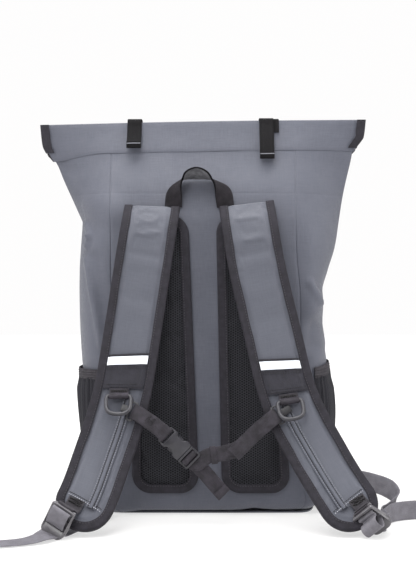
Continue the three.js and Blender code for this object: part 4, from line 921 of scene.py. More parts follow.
def beside(face, x, rows):
    """Places off a panel at x: each row has a height and a distance from the panel."""
    return [(x, float(wall_y(face, x, z)) + face * off, z) for z, off in rows]


def lean(points):
    """The lean of the mouth line, for everything on it."""
    m = MOUTH_LEAN
    mouth = dict(zip(SECTION_NAMES, SECTIONS[-1]))
    t = (points[..., 0] - mouth["left"]) / (mouth["right"] - mouth["left"])
    out = points.copy()
    out[..., 2] += mix(m["left"], m["right"], t) * ramp(points[..., 2], m["from"], m["full"])
    return out


def relief(points):
    """Outward height of the cloth's folds and crumples."""
    x, y, z = np.moveaxis(points, -1, 0)
    high = np.zeros(points.shape[:-1])
    for row in FOLDS:
        f = dict(zip(FOLD_NAMES, row))
        d = np.array([f["x1"] - f["x0"], f["z1"] - f["z0"]])
        t = np.clip(((x - f["x0"]) * d[0] + (z - f["z0"]) * d[1]) / (d @ d), 0, 1)
        r = np.hypot(x - f["x0"] - t * d[0], z - f["z0"] - t * d[1])
        near = y > FRONT_FOLDS_FROM if f["behind"] is None else y < f["behind"]
        high = high + np.where(near, f["high"] * hump(r, f["wide"]), 0)
    for scale, size in CRUMPLE:
        high = high + size * noise_at(points, scale)
    high = high - np.where(y < 0, WELD["deep"] * hump(z - WELD["z"], WELD["half"]), 0)
    calm = CALM
    return high * ramp(z, 0, calm["foot"]) * (1 - calm["share"] * ramp(z, *calm["hem"]))


def grid_normals(points):
    """Outward normals of the closed rings of the bag."""
    around = np.roll(points, -1, 1) - np.roll(points, 1, 1)
    up = np.gradient(points, axis=0)
    return unit(np.cross(around, up))


def bag_heights():
    """Heights of the cloth's rows, set close together at the weld."""
    level, reach = WELD["z"], WELD["half"]
    plain = np.concatenate([FOOT_ROWS, np.arange(*BODY_ROWS), np.arange(*HEM_ROWS), [MOUTH]])
    weld = np.linspace(level - reach, level + reach, WELD["rows"])
    return np.sort(np.concatenate([plain[np.abs(plain - level) > 2 * reach], weld]))


def build_bag():
    heights = bag_heights()
    z = heights[:, None]
    p, g = PANEL_COLUMNS, GUSSET_COLUMNS
    inside = np.linspace(-p["from"], p["from"], p["count"])
    across = np.concatenate([[-1, -p["seam"]], inside, [p["seam"], 1]])
    inside = np.linspace(g["from"], 1 - g["from"], g["count"])
    round_it = np.concatenate([[0, g["seam"]], inside, [1 - g["seam"], 1]])
    parts = [
        ("back_panel", panel(BACK, across, z)),
        ("side_gusset_right", gusset(1, round_it, z)),
        ("front_panel", panel(FRONT, -across, z)),
        ("side_gusset_left", gusset(-1, round_it[::-1], z)),
    ]
    ring = np.concatenate([grid[:, :-1] for _, grid in parts], 1)
    ring = ring + grid_normals(ring) * relief(ring)[..., None]
    ring[..., 2] = np.maximum(ring[..., 2], 0)
    raised = np.interp(ring[..., 0], *np.array(LOW_EDGE).T) * ramp(-ring[..., 1], *LOW_EDGE_DEPTH)
    ring[..., 2] += raised * (1 - ramp(ring[..., 2], 0, LOW_EDGE_HIGH))
    outward = grid_normals(ring)
    girth = closed_lengths(ring[len(heights) // 2])
    start = 0
    for name, grid in parts:
        count = grid.shape[1]
        pick = (start + np.arange(count)) % ring.shape[1]
        seam = np.zeros(count)
        seam[[0, -1]] = SEAM_DEPTH
        outer = ring[:, pick] - outward[:, pick] * seam[None, :, None]
        inner = ring[:, pick] - outward[:, pick] * WALL
        inner[..., 2] = np.maximum(inner[..., 2], INNER_FLOOR)
        shape = Shape()
        shape.solid_grid(lean(outer), lean(inner), girth[start : start + count], heights)
        shape.dress(name, "cloth", BODY_LOOK, "coated_fabric")
        start += count - 1
    build_base(ring[0])


def build_base(foot):
    """The base panel, within the foot of the bag's walls."""
    shares = np.array(BASE_SHARES)
    centre = foot.mean(0)
    under = centre + (foot - centre)[None] * shares[:, None, None]
    under[:, :, 2] = BASE["clear"] + BASE["dish"] * ramp(1 - shares, 0, BASE["reach"])[:, None]
    inside = under.copy()
    inside[:, :, 2] += BASE["thick"]
    both = np.concatenate([under, inside[::-1]])
    rim = np.stack([under[0], inside[0]])
    shape = Shape()
    shape.grid(both, np.concatenate([both[0, :, 0], both[0, :1, 0]]), both[:, 0, 1], wrap=True)
    shape.cap(under[-1])
    shape.cap(inside[-1])
    shape.grid(rim, np.zeros(rim.shape[1] + 1), np.zeros(2), wrap=True)
    shape.build("base_cloth", BODY_LOOK, "coated_fabric", ["base_panel"], sharp=50)


def lip(face, u, z, out=0.0):
    """One lip of the mouth: its panel, and beyond u -1 and 1 the half gussets folded against it."""
    inside = panel(face, np.clip(u, -1, 1), z, out)
    near = np.clip(np.abs(u) - 1, 0, 0.5 - 1e-6)
    q = near if face == BACK else 1 - near
    leftward = (u < 0)[..., None]
    folded = np.where(leftward, gusset(-1, q, z, out), gusset(1, q, z, out))
    folded[..., 0] = np.where(leftward, gusset(-1, q, z), gusset(1, q, z))[..., 0]
    return np.where((np.abs(u) <= 1)[..., None], inside, folded)


def hem_profile():
    """Outline of a hem's cross-section: height above its lower edge, and distance out from the panel."""
    tall = MOUTH - HEM_LOW
    flap = tall - HEM_FLAP
    outside = [(0, 0.15), (0.2, 0.45)] + [(z, HEM_PROUD) for z in (0.9, 6, 14, 22, 30, 38, tall - 0.6)]
    crest = [(tall + 0.4, 0.4), (tall + 0.7, -0.5), (tall + 0.4, -1.7)]
    inside = [(z, -2.3) for z in (tall - 0.6, 40, flap)] + [(z, -1.5) for z in (flap, 40, tall - 0.2)]
    return outside + crest + inside + [(tall - 0.2, 0.15), (24, 0.15)]


def build_hems():
    stops = np.linspace(-HEM_END, HEM_END, HEM_COLUMNS)
    profile = hem_profile()
    for name, face in (("back", BACK), ("front", FRONT)):
        x = lip(face, stops, np.full_like(stops, HEM_LOW))[:, 0]
        dip = HEM_DIP["depth"] * ramp(HEM_DIP["x"] - x, 0, HEM_DIP["reach"]) if face == BACK else 0 * x
        waver = HEM_WAVE["high"] * noise_at(np.stack([x, 0 * x, 0 * x], -1), HEM_WAVE["scale"])
        rings = []
        for rise, out in profile:
            low = 1 - ramp(np.float64(rise), 0, HEM_WAVE["fade"])
            ring = lip(face, stops, HEM_LOW + rise - dip * low, out)
            ring[:, 2] += waver * low
            rings.append(ring)
        rings = lean(np.array(rings).transpose(1, 0, 2))
        shape = Shape()
        shape.tube(rings, closed_lengths(np.array(profile)), lengths(rings[:, 4]))
        shape.dress(f"mouth_hem_{name}", "cloth", BODY_LOOK, "coated_fabric", sharp=60)


def binding_ring(side, z):
    """The binding's outline round the folded end of the mouth at a height."""
    b = BINDING
    level = np.array([min(z, MOUTH)])
    end = lip(BACK, np.array([side * HEM_END]), level, b["clear"])[0]
    before = lip(BACK, np.array([side * (HEM_END - 0.1)]), level, b["clear"])[0]
    s = section(level)
    middle = float((s["back"] + s["front"])[0] / 2)
    half = middle - end[1] + b["slack"]
    slope = (end[1] - before[1]) / abs(end[0] - before[0])
    depth = b["depth"] + b["wander"] * noise.noise(Vector((z / b["scale"], side, 0)))
    wide = half + slope * depth
    turns = np.radians(np.linspace(-90, 90, 9))
    thick = b["thick"]
    nose = [(-b["nose"] - half * 0.5 * math.cos(a), (half + thick) * math.sin(a)) for a in turns]
    inner = [(depth, wide), (-b["inside"], half), (-b["inside"], -half), (depth, -wide)]
    outline = [(depth, -wide - thick)] + nose + [(depth, wide + thick)] + inner
    return [(end[0] - side * a, middle + deep, z) for a, deep in outline]


def build_mouth_bindings():
    b = BINDING
    heights = np.linspace(b["from"], MOUTH + b["over"], b["rows"])
    for name, side in SIDES.items():
        rings = lean(np.array([binding_ring(side, z) for z in heights]))
        shape = Shape()
        shape.tube(rings, np.linspace(0, b["girth"], rings.shape[1] + 1), heights)
        path = rings[0].mean(0) + np.array([(side * x, y, z) for x, y, z in BINDING_END])
        ribbon(shape, path, every((side * 0.8, 0.5, 0.2), path), b["end_width"], b["end_thick"])
        shape.dress(f"mouth_binding_{name}", "tape", TAPE_LOOK, "binding_tape", sharp=50)


def drape(node, route, width):
    """Webbing hung over the mouth."""
    route = lean(np.array(route))
    shape = Shape()
    ribbon(shape, route, every((1, 0, 0), route), width, WEB, 1.4)
    shape.dress(node, "webbing", TOP_LOOK, "webbing", sharp=50)


def build_top_straps():
    for name, strap in TOP_STRAPS.items():
        x = strap["x"]
        z, off = strap["corner"]
        front = float(wall_y(FRONT, x, MOUTH))
        back = float(wall_y(BACK, x, MOUTH))
        over = [(front + off, z), (front - 1, strap["crest"]), (back + 1, strap["crest"]), (back - off, z)]
        hang = beside(BACK, x, strap["hang"])
        low = np.array(hang[-1])
        fold = [tuple(low + (0, dy, dz)) for dy, dz in TOP_FOLD]
        route = beside(FRONT, x, STRAP_FRONT) + [(x, y, high) for y, high in over] + hang + fold
        drape(f"top_strap_{name}", route, TOP_WIDTH)
        # Pale line across the folded end: painted highlight of the fold's edge
        reach = TOP_WIDTH / 2 - TOP_HIGHLIGHT_LINE["short"]
        ends = np.linspace(-reach, reach, 9)
        line = lean(np.array([low + (a, TOP_HIGHLIGHT_LINE["off"], TOP_HIGHLIGHT_LINE["up"]) for a in ends]))
        seam = Shape()
        sweep(seam, line, every((0, 0, 1), line), circle_section(TOP_HIGHLIGHT_LINE["radius"], 8))
        seam.build(f"top_strap_seam_{name}", RAIL_THREAD_AND_HIGHLIGHT, "webbing")
    t = TAIL_RIGHT
    edge = float(wall_y(BACK, t["x"], MOUTH))
    crest = [(t["x"], edge - off, z) for z, off in t["crest"]]
    route = beside(BACK, t["x"], t["inside"]) + crest + beside(BACK, t["x"], t["outside"])
    drape("top_strap_tail_right", route, t["width"])


def build_handle():
    outer, inner = (
        catmull([(x, wall_y(BACK, x, z) - off, z) for x, z, off in rows], 12)
        for rows in (HANDLE_ROWS[:, :3], HANDLE_ROWS[:, 3:])
    )
    across = inner - outer
    middle = (outer + inner) / 2
    _, side, out = frames_on(middle, across)
    width = np.linalg.norm(across, axis=1)
    thick = HANDLE["thick"]
    along = lengths(middle)

    def cup(flat, k):
        return HANDLE["cup"] * (1 - flat**2) * math.sin(math.pi * k / (len(middle) - 1))

    outline = rounded_section(1, thick, 9)
    straight = 0.5 - thick / 2
    flat = np.clip(outline[:, 0] / straight, -1, 1)
    rings = []
    for k in range(len(middle)):
        a = flat * (width[k] / 2 - thick / 2) + (outline[:, 0] - flat * straight)
        b = outline[:, 1] + cup(flat, k)
        rings.append(middle[k] + a[:, None] * side[k] + b[:, None] * out[k])
    shape = Shape()
    u = flat * HANDLE["cloth"]
    shape.tube(np.array(rings), np.concatenate([u, u[:1]]), along)
    shape.dress("grab_handle", "webbing", SHADED_HANDLE_LOOK, "webbing", sharp=60)

    # A lighter copy of the webbing over the handle's underside: painted light
    first, last = (round(share * (len(middle) - 1)) for share in HANDLE["lit_underside_span"])
    flat = np.linspace(-HANDLE["lit_underside_wide"], HANDLE["lit_underside_wide"], 12)
    under = []
    for k in range(first, last + 1):
        b = cup(flat, k) + thick / 2 + HANDLE["lit_underside_lift"]
        under.append(middle[k] + (flat * width[k] / 2)[:, None] * side[k] + b[:, None] * out[k])
    lit_underside = Shape()
    lit_underside.grid(np.array(under), flat * HANDLE["cloth"], along[first : last + 1])
    lit_underside.build("grab_handle_lining", LIT_UNDERSIDE_LOOK, "webbing")


# Pads swelled by cloth simulation

waiting = []


def swell(name, grid, pinned, push):
    """Queues a grid of cloth that is held at its pinned points and pressed outward."""
    rows, columns = grid.shape[:2]
    mesh = bpy.data.meshes.new(name)
    faces = [
        (i * columns + j, i * columns + j + 1, (i + 1) * columns + j + 1, (i + 1) * columns + j)
        for i in range(rows - 1)
        for j in range(columns - 1)
    ]
    mesh.from_pydata(grid.reshape(-1, 3) * MM, [], faces)
    cloth = bpy.data.objects.new(name, mesh)
    bpy.context.scene.collection.objects.link(cloth)
    group = cloth.vertex_groups.new(name="pin")
    group.add([int(i) for i in np.flatnonzero(pinned.ravel())], 1.0, "REPLACE")
    made = cloth.modifiers.new("cloth", "CLOTH")
    for key, value in CLOTH.items():
        setattr(made.settings, key, value)
    made.settings.vertex_group_mass = "pin"
    made.settings.shrink_min = -push["grow"]
    made.settings.use_pressure = True
    made.settings.uniform_pressure_force = push["pressure"]
    made.settings.effector_weights.gravity = 0
    made.collision_settings.use_collision = False
    made.collision_settings.use_self_collision = False
    made.point_cache.frame_start = 1
    made.point_cache.frame_end = SWELL_FRAMES
    waiting.append((cloth, push["most"]))


def run_swelling():
    """Steps the queued cloths together, and returns each one's grid points by name."""
    scene = bpy.context.scene
    for step in range(1, SWELL_FRAMES + 1):
        scene.frame_set(step)
    graph = bpy.context.evaluated_depsgraph_get()
    results = {}
    for cloth, most in waiting:
        start = np.array([v.co for v in cloth.data.vertices]) / MM
        ended = np.array([v.co for v in cloth.evaluated_get(graph).data.vertices]) / MM
        move = ended - start
        size = np.linalg.norm(move, axis=1, keepdims=True)
        limit = most * np.tanh(size / most)
        results[cloth.name] = start + move * np.where(size > TINY, limit / np.maximum(size, TINY), 0)
    for cloth, _ in waiting:
        bpy.data.objects.remove(cloth, do_unlink=True)
    scene.frame_set(1)
    return results


def denser(grid, rows, columns):
    """A grid of points resampled by cubics along both of its directions."""
    def along(points, count):
        n = len(points)
        padded = np.concatenate([2 * points[:1] - points[1:2], points, 2 * points[-1:] - points[-2:-1]])
        where = np.linspace(0, n - 1, count)
        i = np.minimum(where.astype(int), n - 2)
        t = (where - i).reshape(-1, *([1] * (points.ndim - 1)))
        a, b, c, d = padded[i], padded[i + 1], padded[i + 2], padded[i + 3]
        return b + 0.5 * t * (c - a + t * (2 * a - 5 * b + 4 * c - d + t * (3 * (b - c) + d - a)))

    tall = along(grid, rows)
    return along(tall.swapaxes(0, 1), columns).swapaxes(0, 1)


def pad_side(pad, which, z):
    low, high = pad[which]
    return mix(low, high, (z - pad["low"]) / (pad["high"] - pad["low"]))


def pad_point(x, z, high):
    return np.stack([x, wall_y(BACK, x, z) - PAD["clear"] - high, z], -1)


def pad_grid(pad):
    """Pad points at rest, in rows closer together near the ends, and their distances from the outline."""
    rows, columns = PAD_GRID
    corner = PAD["corner"]
    bend = np.pi / 2 * 0.9
    spread = 0.5 + 0.5 * np.sin(np.linspace(-1, 1, rows) * bend) / math.sin(bend)
    z = mix(pad["low"] + PAD["clear"], pad["high"] - PAD["clear"], spread)
    near = np.clip(corner - np.minimum(z - pad["low"], pad["high"] - z), 0, corner)
    cut = corner - np.sqrt(np.maximum(corner**2 - near**2, 0))
    inward = np.sign(pad["inner"][0] - pad["outer"][0])
    from_x = pad_side(pad, "outer", z) + inward * cut
    to_x = pad_side(pad, "inner", z) - inward * cut
    share = np.linspace(0, 1, columns)
    x = mix(from_x[:, None], to_x[:, None], share[None])
    zz = np.broadcast_to(z[:, None], x.shape)
    wide = np.abs(to_x - from_x)[:, None]
    side = np.minimum(share, 1 - share)[None] * wide + cut[:, None]
    end = np.minimum(zz - pad["low"], pad["high"] - zz)
    rounded = corner - np.hypot(corner - np.minimum(side, corner), corner - np.minimum(end, corner))
    inset = np.where((side < corner) & (end < corner), rounded, np.minimum(side, end))
    return x, zz, np.maximum(inset, 0)


def queue_pads():
    for name, pad in PADS.items():
        x, z, inset = pad_grid(pad)
        high = PAD["edge"] + (PAD["crown"] - PAD["edge"]) * ramp(inset, *PAD["rise"])
        swell(f"back_pad_{name}_sim", pad_point(x, z, high), inset < PAD["held"], PAD_PUSH)


def build_pads(results):
    for name, pad in PADS.items():
        top = denser(results[f"back_pad_{name}_sim"].reshape(*PAD_GRID, 3), *PAD_DENSE)
        flat = denser(np.stack(pad_grid(pad), -1), *PAD_DENSE)
        u, v, inset = np.moveaxis(flat, -1, 0)
        slant = v * math.sqrt(3) / 2
        lattice = sum(np.cos(2 * np.pi * k / MESH_PITCH) for k in (u, u / 2 + slant, u / 2 - slant))
        dent = ramp(lattice, *MESH_DENT["holes"]) * ramp(inset, *MESH_DENT["edge"])
        top[..., 1] += MESH_DENT["deep"] * dent
        low = pad_point(u, v, np.full(u.shape, PAD["under"]))
        coarse = (slice(None, None, 13), slice(None, None, 9))
        shape = Shape()
        shape.grid(top, u, v)
        shape.grid(low[coarse], u[coarse], v[coarse])
        piece = shape.dress(f"back_pad_{name}", "mesh", PAD_LOOK, "mesh")
        build_pad_tape(name, pad)


def pad_outline(pad):
    """The pad's outline as points in x and z with outward directions, going round it."""
    radius = PAD["corner"]
    inward = np.sign(pad["inner"][0] - pad["outer"][0])
    turns = np.linspace(0, np.pi / 2, 13)
    straight = np.linspace(pad["low"] + PAD["straight"], pad["high"] - PAD["straight"], 58)
    stops = []
    for which, other, sign, end in (("outer", "inner", -inward, "high"), ("inner", "outer", inward, "low")):
        rise = [(radius * (1 - math.cos(a)), radius * (1 - math.sin(a)), a) for a in turns]
        low = [(pad["low"] + up, cut, a, -1) for up, cut, a in rise]
        high = [(pad["high"] - up, cut, a, 1) for up, cut, a in rise[::-1]]
        run = [
            (pad_side(pad, which, z) - sign * cut, z, sign * math.sin(a), face * math.cos(a))
            for z, cut, a, face in low + [(z, 0, np.pi / 2, 1) for z in straight] + high
        ]
        last = run[-1] if end == "high" else run[0]
        stops += run if end == "high" else run[::-1]
        beyond = pad_side(pad, other, pad[end]) + sign * radius
        facing = 1 if end == "high" else -1
        stops += [(mix(last[0], beyond, share), pad[end], 0, facing) for share in np.linspace(0.25, 0.75, 5)]
    return np.array(stops)


def tape_profile(wide, high, side, thick, low):
    """Outline of a tape folded round an edge: distance outward from the edge, and height."""
    middle = (high + low) / 2
    half = (high - low) / 2
    turns = np.radians(np.linspace(80, -80, 7))
    nose = [(side - TAPE_NOSE + TAPE_NOSE * math.cos(a), middle + half * math.sin(a)) for a in turns]
    top = [(-wide, high - 0.25), (-wide + 0.5, high), (-wide * 0.6, high + 0.1), (-wide * 0.25, high)]
    bottom = [(-wide * 0.3, low), (-wide, low)]
    back = side - thick - 0.4
    inside = [(-wide, low + thick), (back, low + thick), (back, high - thick), (-wide, high - thick)]
    return np.array(top + nose + bottom + inside)


def build_pad_tape(name, pad):
    t = PAD_TAPE
    outline = pad_outline(pad)
    profile = tape_profile(t["wide"], t["high"], t["side"], t["thick"], t["low"])
    x, z = outline[:, :2].T
    pulls = t["pull"] * noise_row(x / t["scale"], z / t["scale"], 3)
    rings = []
    for (x, z, nx, nz), pull in zip(outline, pulls):
        out = profile[:, 0] * (1 + 0.06 * pull)
        high = profile[:, 1] + 0.25 * pull * (profile[:, 1] > 2)
        rings.append(pad_point(x + nx * out, z + nz * out, high))
    rings = np.array(rings + rings[:1])
    shape = Shape()
    shape.grid(rings, closed_lengths(profile), lengths(rings[:, 2]), wrap=True)
    shape.dress(f"back_pad_binding_{name}", "tape", TAPE_LOOK, "binding_tape", sharp=60)
    x, z = (outline[:, :2] - outline[:, 2:] * (t["wide"] - TAPE_SEAM)).T
    seam = pad_point(x, z, np.full(x.shape, t["high"]))
    seam = np.concatenate([seam, seam[:1]])
    thread = Shape()
    stitches(thread, seam, every((0.0, -1.0, 0.0), seam), TAPE_STITCH)
    thread.build(f"back_pad_stitches_{name}", TAPE_THREAD, "binding_tape")


def build_pocket(name, side):
    p = POCKET
    hem = POCKET_HEMS[name]
    off_at = through(POCKET_HEIGHTS, POCKET_OFF[name])
    q = np.linspace(p["from"], p["to"], p["columns"])
    u = p["cloth"][0] * q
    rise = hem["rise"] * np.sin(np.pi * q) ** 2
    crown = p["bulge"] * np.maximum(0, np.sin(np.pi * (q - p["from"]) / (p["to"] - p["from"]))) ** 0.8
    held = np.minimum(1, np.minimum(q - p["from"], p["to"] - q) / p["fade"])
    seed = 3.0 * side

    def place(z, out):
        return gusset(side, q, z, p["edge"] + crown * off_at(z) + out)

    gathers = 2.5 * noise_row(q * 26, seed, 0) + 1.0 * noise_row(q * 60, seed, 4)
    level = np.linspace(0, 1, 60)
    outer = []
    inner = []
    for w in level:
        z = mix(p["low"], hem["foot"] + 1 + rise, w)
        drift = 1.2 * noise_row(q * 9, seed, w * 2.5) * math.sin(math.pi * w)
        folds = held * ((0.25 + 0.75 * w) * gathers + drift)
        outer.append(place(z, p["skin"][0] + folds))
        inner.append(place(z, p["skin"][1] + folds))
    shape = Shape()
    shape.solid_grid(np.array(outer), np.array(inner), u, level * p["cloth"][1])
    piece = shape.dress(f"side_pocket_{name}", "mesh", POCKET_LOOK, "mesh", sharp=60)

    e = ELASTIC
    band = np.linspace(0, 1, 22)
    outer = []
    inner = []
    for w in band:
        z = mix(hem["foot"] - 0.5, hem["top"], w) + rise
        rounding = abs(2 * w - 1) ** 8
        welt = e["welt"] * math.cos(2 * math.pi * e["welts"] * w) - 0.6 * rounding
        pucker = e["pucker"] * noise_row(q * 70, seed, w * 0.6)
        outer.append(place(z, e["skin"][0] + welt + pucker))
        inner.append(place(z, e["skin"][1] + 0.5 * rounding + pucker))
    shape = Shape()
    shape.solid_grid(np.array(outer), np.array(inner), u, band * e["cloth"])
    shape.dress(f"pocket_hem_{name}", "elastic", ELASTIC_LOOK, "binding_tape", sharp=60)


# Shoulder straps

class Strap:
    """Places on a shoulder strap: distance along it, across it, and out from its middle surface."""

    def __init__(self, name):
        self.name = name
        self.side = SIDES[name]
        self.line = catmull(STRAP_PATHS[name], 80)
        self.length = lengths(self.line)[-1]
        self.start = self.length - STRAP_HALF

    def frame(self, s):
        s = np.asarray(s, float)
        inside = np.clip(s, 0, self.length)
        at = at_lengths(self.line, inside)
        ahead = at_lengths(self.line, np.clip(inside + FRAME_STEP, 0, self.length))
        behind = at_lengths(self.line, np.clip(inside - FRAME_STEP, 0, self.length))
        along = unit(ahead - behind)
        at = at + along * (s - inside)[..., None]
        across = np.zeros_like(along)
        across[..., 0] = 1
        across = unit(across - along * np.sum(across * along, -1, keepdims=True))
        return at, along, across, np.cross(along, across)

    def point(self, s, a, b):
        s, a, b = np.broadcast_arrays(np.asarray(s, float), a, b)
        shift, slope = STRAP_TOP[self.name]
        s = s + (shift + slope * a) * np.clip(1 - s / STRAP_TOP["fade"], 0, 1)
        at, _, across, out = self.frame(s)
        return at + across * a[..., None] + out * b[..., None]

    def inset(self, s, a):
        past = np.maximum(s - self.start, 0)
        return STRAP_HALF - np.where(past > 0, np.hypot(past, a), np.abs(a))

    def face(self, s, a):
        return mix(STRAP_EDGE, STRAP_FACE, ramp(self.inset(s, a), *STRAP_RISE))


def strap_rows(strap):
    """Distances along a strap, closer together in its rounded end, with the half width at each."""
    t = np.linspace(0, 1, STRAP_GRID[0])
    straight = t < STRAP_STRAIGHT
    angle = np.clip((t - STRAP_STRAIGHT) / (1 - STRAP_STRAIGHT), 0, 1) * math.radians(STRAP_TURN)
    s = np.where(straight, t / STRAP_STRAIGHT * strap.start, strap.start + STRAP_HALF * np.sin(angle))
    half = np.where(straight, STRAP_HALF, STRAP_HALF * np.cos(angle))
    return s, half[:, None] * np.linspace(-1, 1, STRAP_GRID[1])


def queue_straps(straps):
    for strap in straps.values():
        s, a = strap_rows(strap)
        ss = np.broadcast_to(s[:, None], a.shape)
        inset = strap.inset(ss, a)
        held = (inset < STRAP_HELD["edge"]) | (ss < STRAP_HELD["top"])
        for name, sign, high in (("face", 1, STRAP_FACE - 0.8), ("back", -1, STRAP_BACK - 0.6)):
            b = mix(STRAP_EDGE, high, ramp(inset, *STRAP_RISE))
            swell(f"strap_{strap.name}_{name}_sim", strap.point(ss, a * sign, sign * b), held, STRAP_PUSH)


def build_strap(strap, results):
    rows, columns = STRAP_DENSE
    s, a = strap_rows(strap)
    s = np.interp(np.linspace(0, 1, rows), np.linspace(0, 1, len(s)), s)
    a = denser(a[..., None], rows, columns)[..., 0]
    face, back = (
        denser(results[f"strap_{strap.name}_{name}_sim"].reshape(*STRAP_GRID, 3), rows, columns)
        for name in ("face", "back")
    )
    along = np.broadcast_to(s[:, None], a.shape)
    crease = sum(
        high * hump(along - s0 - slope * a, wide) for s0, slope, wide, high in STRAP_CREASES[strap.name]
    )
    crease = crease * ramp(strap.inset(along, a), *STRAP_RISE)
    face = face + strap.frame(s)[3][:, None] * crease[..., None]
    shape = Shape()
    shape.grid(face, a, s)
    shape.grid(back, -a, s)
    for j, opposite in ((0, -1), (-1, 0)):
        shape.grid(np.stack([face[:, j], back[:, opposite]], 1), np.zeros((rows, 2)), s)
    for i in (0, -1):
        shape.grid(np.stack([face[i], back[i, ::-1]]), np.zeros((2, columns)), np.zeros(2))
    piece = shape.dress(f"shoulder_strap_{strap.name}", "pad", STRAP_LOOK, "coated_fabric")
    build_strap_tape(strap)
    build_patch(strap)
    build_rail(strap)


def strap_edge(strap):
    """Stops round a strap's edge: distance along, across, and the outward direction in both."""
    straight = np.arange(EDGE_FROM, strap.start, EDGE_STEP)
    turn = np.linspace(0, np.pi, 40)
    left = [(s, -STRAP_HALF, 0, -1) for s in straight]
    end = [
        (strap.start + STRAP_HALF * math.sin(a), -STRAP_HALF * math.cos(a), math.sin(a), -math.cos(a))
        for a in turn
    ]
    right = [(s, STRAP_HALF, 0, 1) for s in straight[::-1]]
    return np.array(left + end + right)


def build_strap_tape(strap):
    t = STRAP_TAPE
    stops = strap_edge(strap)
    profile = tape_profile(t["wide"], t["high"], t["side"], t["thick"], -t["high"])
    s, a = stops[:, :2].T
    (scale, wander_by), (fine, pucker_by) = TAPE_WANDER, TAPE_PUCKER
    wander = noise_row(s / scale, a / scale, strap.side * 5.0)
    pucker = noise_row(s / fine, a / fine, strap.side * 9.0)
    rings = []
    seams = {1: [], -1: []}
    normals = {1: [], -1: []}
    for k, (s, a, ns, na) in enumerate(stops):
        out = profile[:, 0] * np.where(profile[:, 0] < -t["wide"] / 2, 1 + wander_by * wander[k], 1)
        high = profile[:, 1] * (1 + pucker_by * pucker[k])
        rings.append(strap.point(s + ns * out, a + na * out, high))
        inward = t["wide"] - TAPE_SEAM + 0.5 * wander[k]
        for sign in seams:
            seams[sign].append(strap.point(s - ns * inward, a - na * inward, sign * t["high"]))
            normals[sign].append(sign * strap.frame(s)[3])
    rings = np.array(rings)
    shape = Shape()
    shape.tube(rings, closed_lengths(profile), lengths(rings[:, 5]))
    shape.dress(f"strap_binding_{strap.name}", "tape", TAPE_LOOK, "binding_tape", sharp=60)
    thread = Shape()
    for sign in seams:
        stitches(thread, np.array(seams[sign]), np.array(normals[sign]), TAPE_STITCH)
    thread.build(f"strap_binding_stitches_{strap.name}", TAPE_THREAD, "binding_tape")


def on_face(strap, s, a, lift):
    return strap.point(s, a, strap.face(np.asarray(s, float), np.asarray(a, float)) + lift)


def build_patch(strap):
    inside = STRAP_HALF - STRAP_BOUND
    a = np.linspace(-inside - 0.8, inside + 0.8, PATCH_GRID[1])
    slant = PATCH_SHIFT[strap.name] + strap.side * PATCH_SLOPE * a

    def cover(node, kind, look, slot, span, lift, thick, puff):
        s = np.linspace(*span, PATCH_GRID[0])[:, None]
        rim = np.minimum(s - span[0], span[1] - s)
        soft = puff * noise_at(np.stack(np.broadcast_arrays(s, a[None], 0 * s), -1), 11, 2.0)
        high = lift + thick * np.sqrt(np.clip(rim / 0.9 + 0.15, 0, 1)) + soft * ramp(rim, 0, 8)
        outer = on_face(strap, s + slant, a[None], high + 0.6)
        inner = on_face(strap, s + slant, a[None], np.full_like(high, lift))
        shape = Shape()
        shape.solid_grid(outer, inner, a, s)
        shape.dress(node, kind, look, slot, sharp=60)

    name = strap.name
    cover(f"strap_patch_{name}", "webbing", PATCH_LOOK, "webbing", PATCH, 0.2, 0.9, 0.5)
    cover(f"reflective_strip_{name}", "tape", WHITE_LOOK, "reflective", REFLECTOR, 1.75, 0.4, 0.1)
    thread = Shape()
    for s in PATCH_SEAMS:
        line = on_face(strap, s + slant, a, 1.75)
        stitches(thread, line, every(strap.frame(s)[3], a), *PATCH_STITCH)
    thread.build(f"patch_stitches_{name}", DARK_THREAD_AND_SHADE, "webbing")


def build_rail(strap):
    s = np.linspace(KEEPER_PLACES[strap.name]["along"] - 3, strap.length - RAIL["short"], 120)
    a = -strap.side * RAIL["inward"]
    centre = on_face(strap, s, np.full_like(s, a), 0.0)
    out = strap.frame(s)[3]
    shape = Shape()
    sweep(shape, centre, strap.frame(s)[2], RAIL_SHAPE)
    shape.dress(f"sternum_rail_{strap.name}", "piping", STRAP_LOOK, "coated_fabric", sharp=60)
    # Dark, almost unbroken thread in the ditches: painted shade of the creases beside the piping and across
    # the strap
    ditch = Shape()
    seam = Shape()
    for side in (-1, 1):
        line = on_face(strap, s, np.full_like(s, a + side * RAIL["ditch"]), 0.5)
        stitches(ditch, line, out, *DITCH_SHADE_LINE)
        line = on_face(strap, s, np.full_like(s, a + side * RAIL["seam"]), 0.8)
        stitches(seam, line, out, *SEAM_STITCH)
    inside = STRAP_HALF - STRAP_BOUND
    cross_a = np.linspace(-inside + 1, inside - 1, 40)
    cross_s = strap.length - CROSS_STITCH["seam"] - strap.side * CROSS_STITCH["slope"] * cross_a
    stitches(ditch, on_face(strap, cross_s, cross_a, 0.4), strap.frame(cross_s)[3], *CROSS_DITCH_SHADE_LINE)
    ditch.build(f"rail_ditch_stitches_{strap.name}", DARK_THREAD_AND_SHADE, "coated_fabric")
    seam.build(f"rail_seam_stitches_{strap.name}", RAIL_THREAD_AND_HIGHLIGHT, "coated_fabric")
    thread = Shape()
    cross_s = strap.length - CROSS_STITCH["from_end"] - strap.side * CROSS_STITCH["slope"] * cross_a
    line = on_face(strap, cross_s, cross_a, 0.85)
    stitches(thread, line, strap.frame(cross_s)[3], *PALE_STITCH)
    thread.build(f"strap_stitches_{strap.name}", PALE_THREAD, "coated_fabric")


def turned(along, across, out, degrees):
    turn = Matrix.Rotation(math.radians(degrees), 3, Vector(out))
    return np.array(turn @ Vector(along)), np.array(turn @ Vector(across))


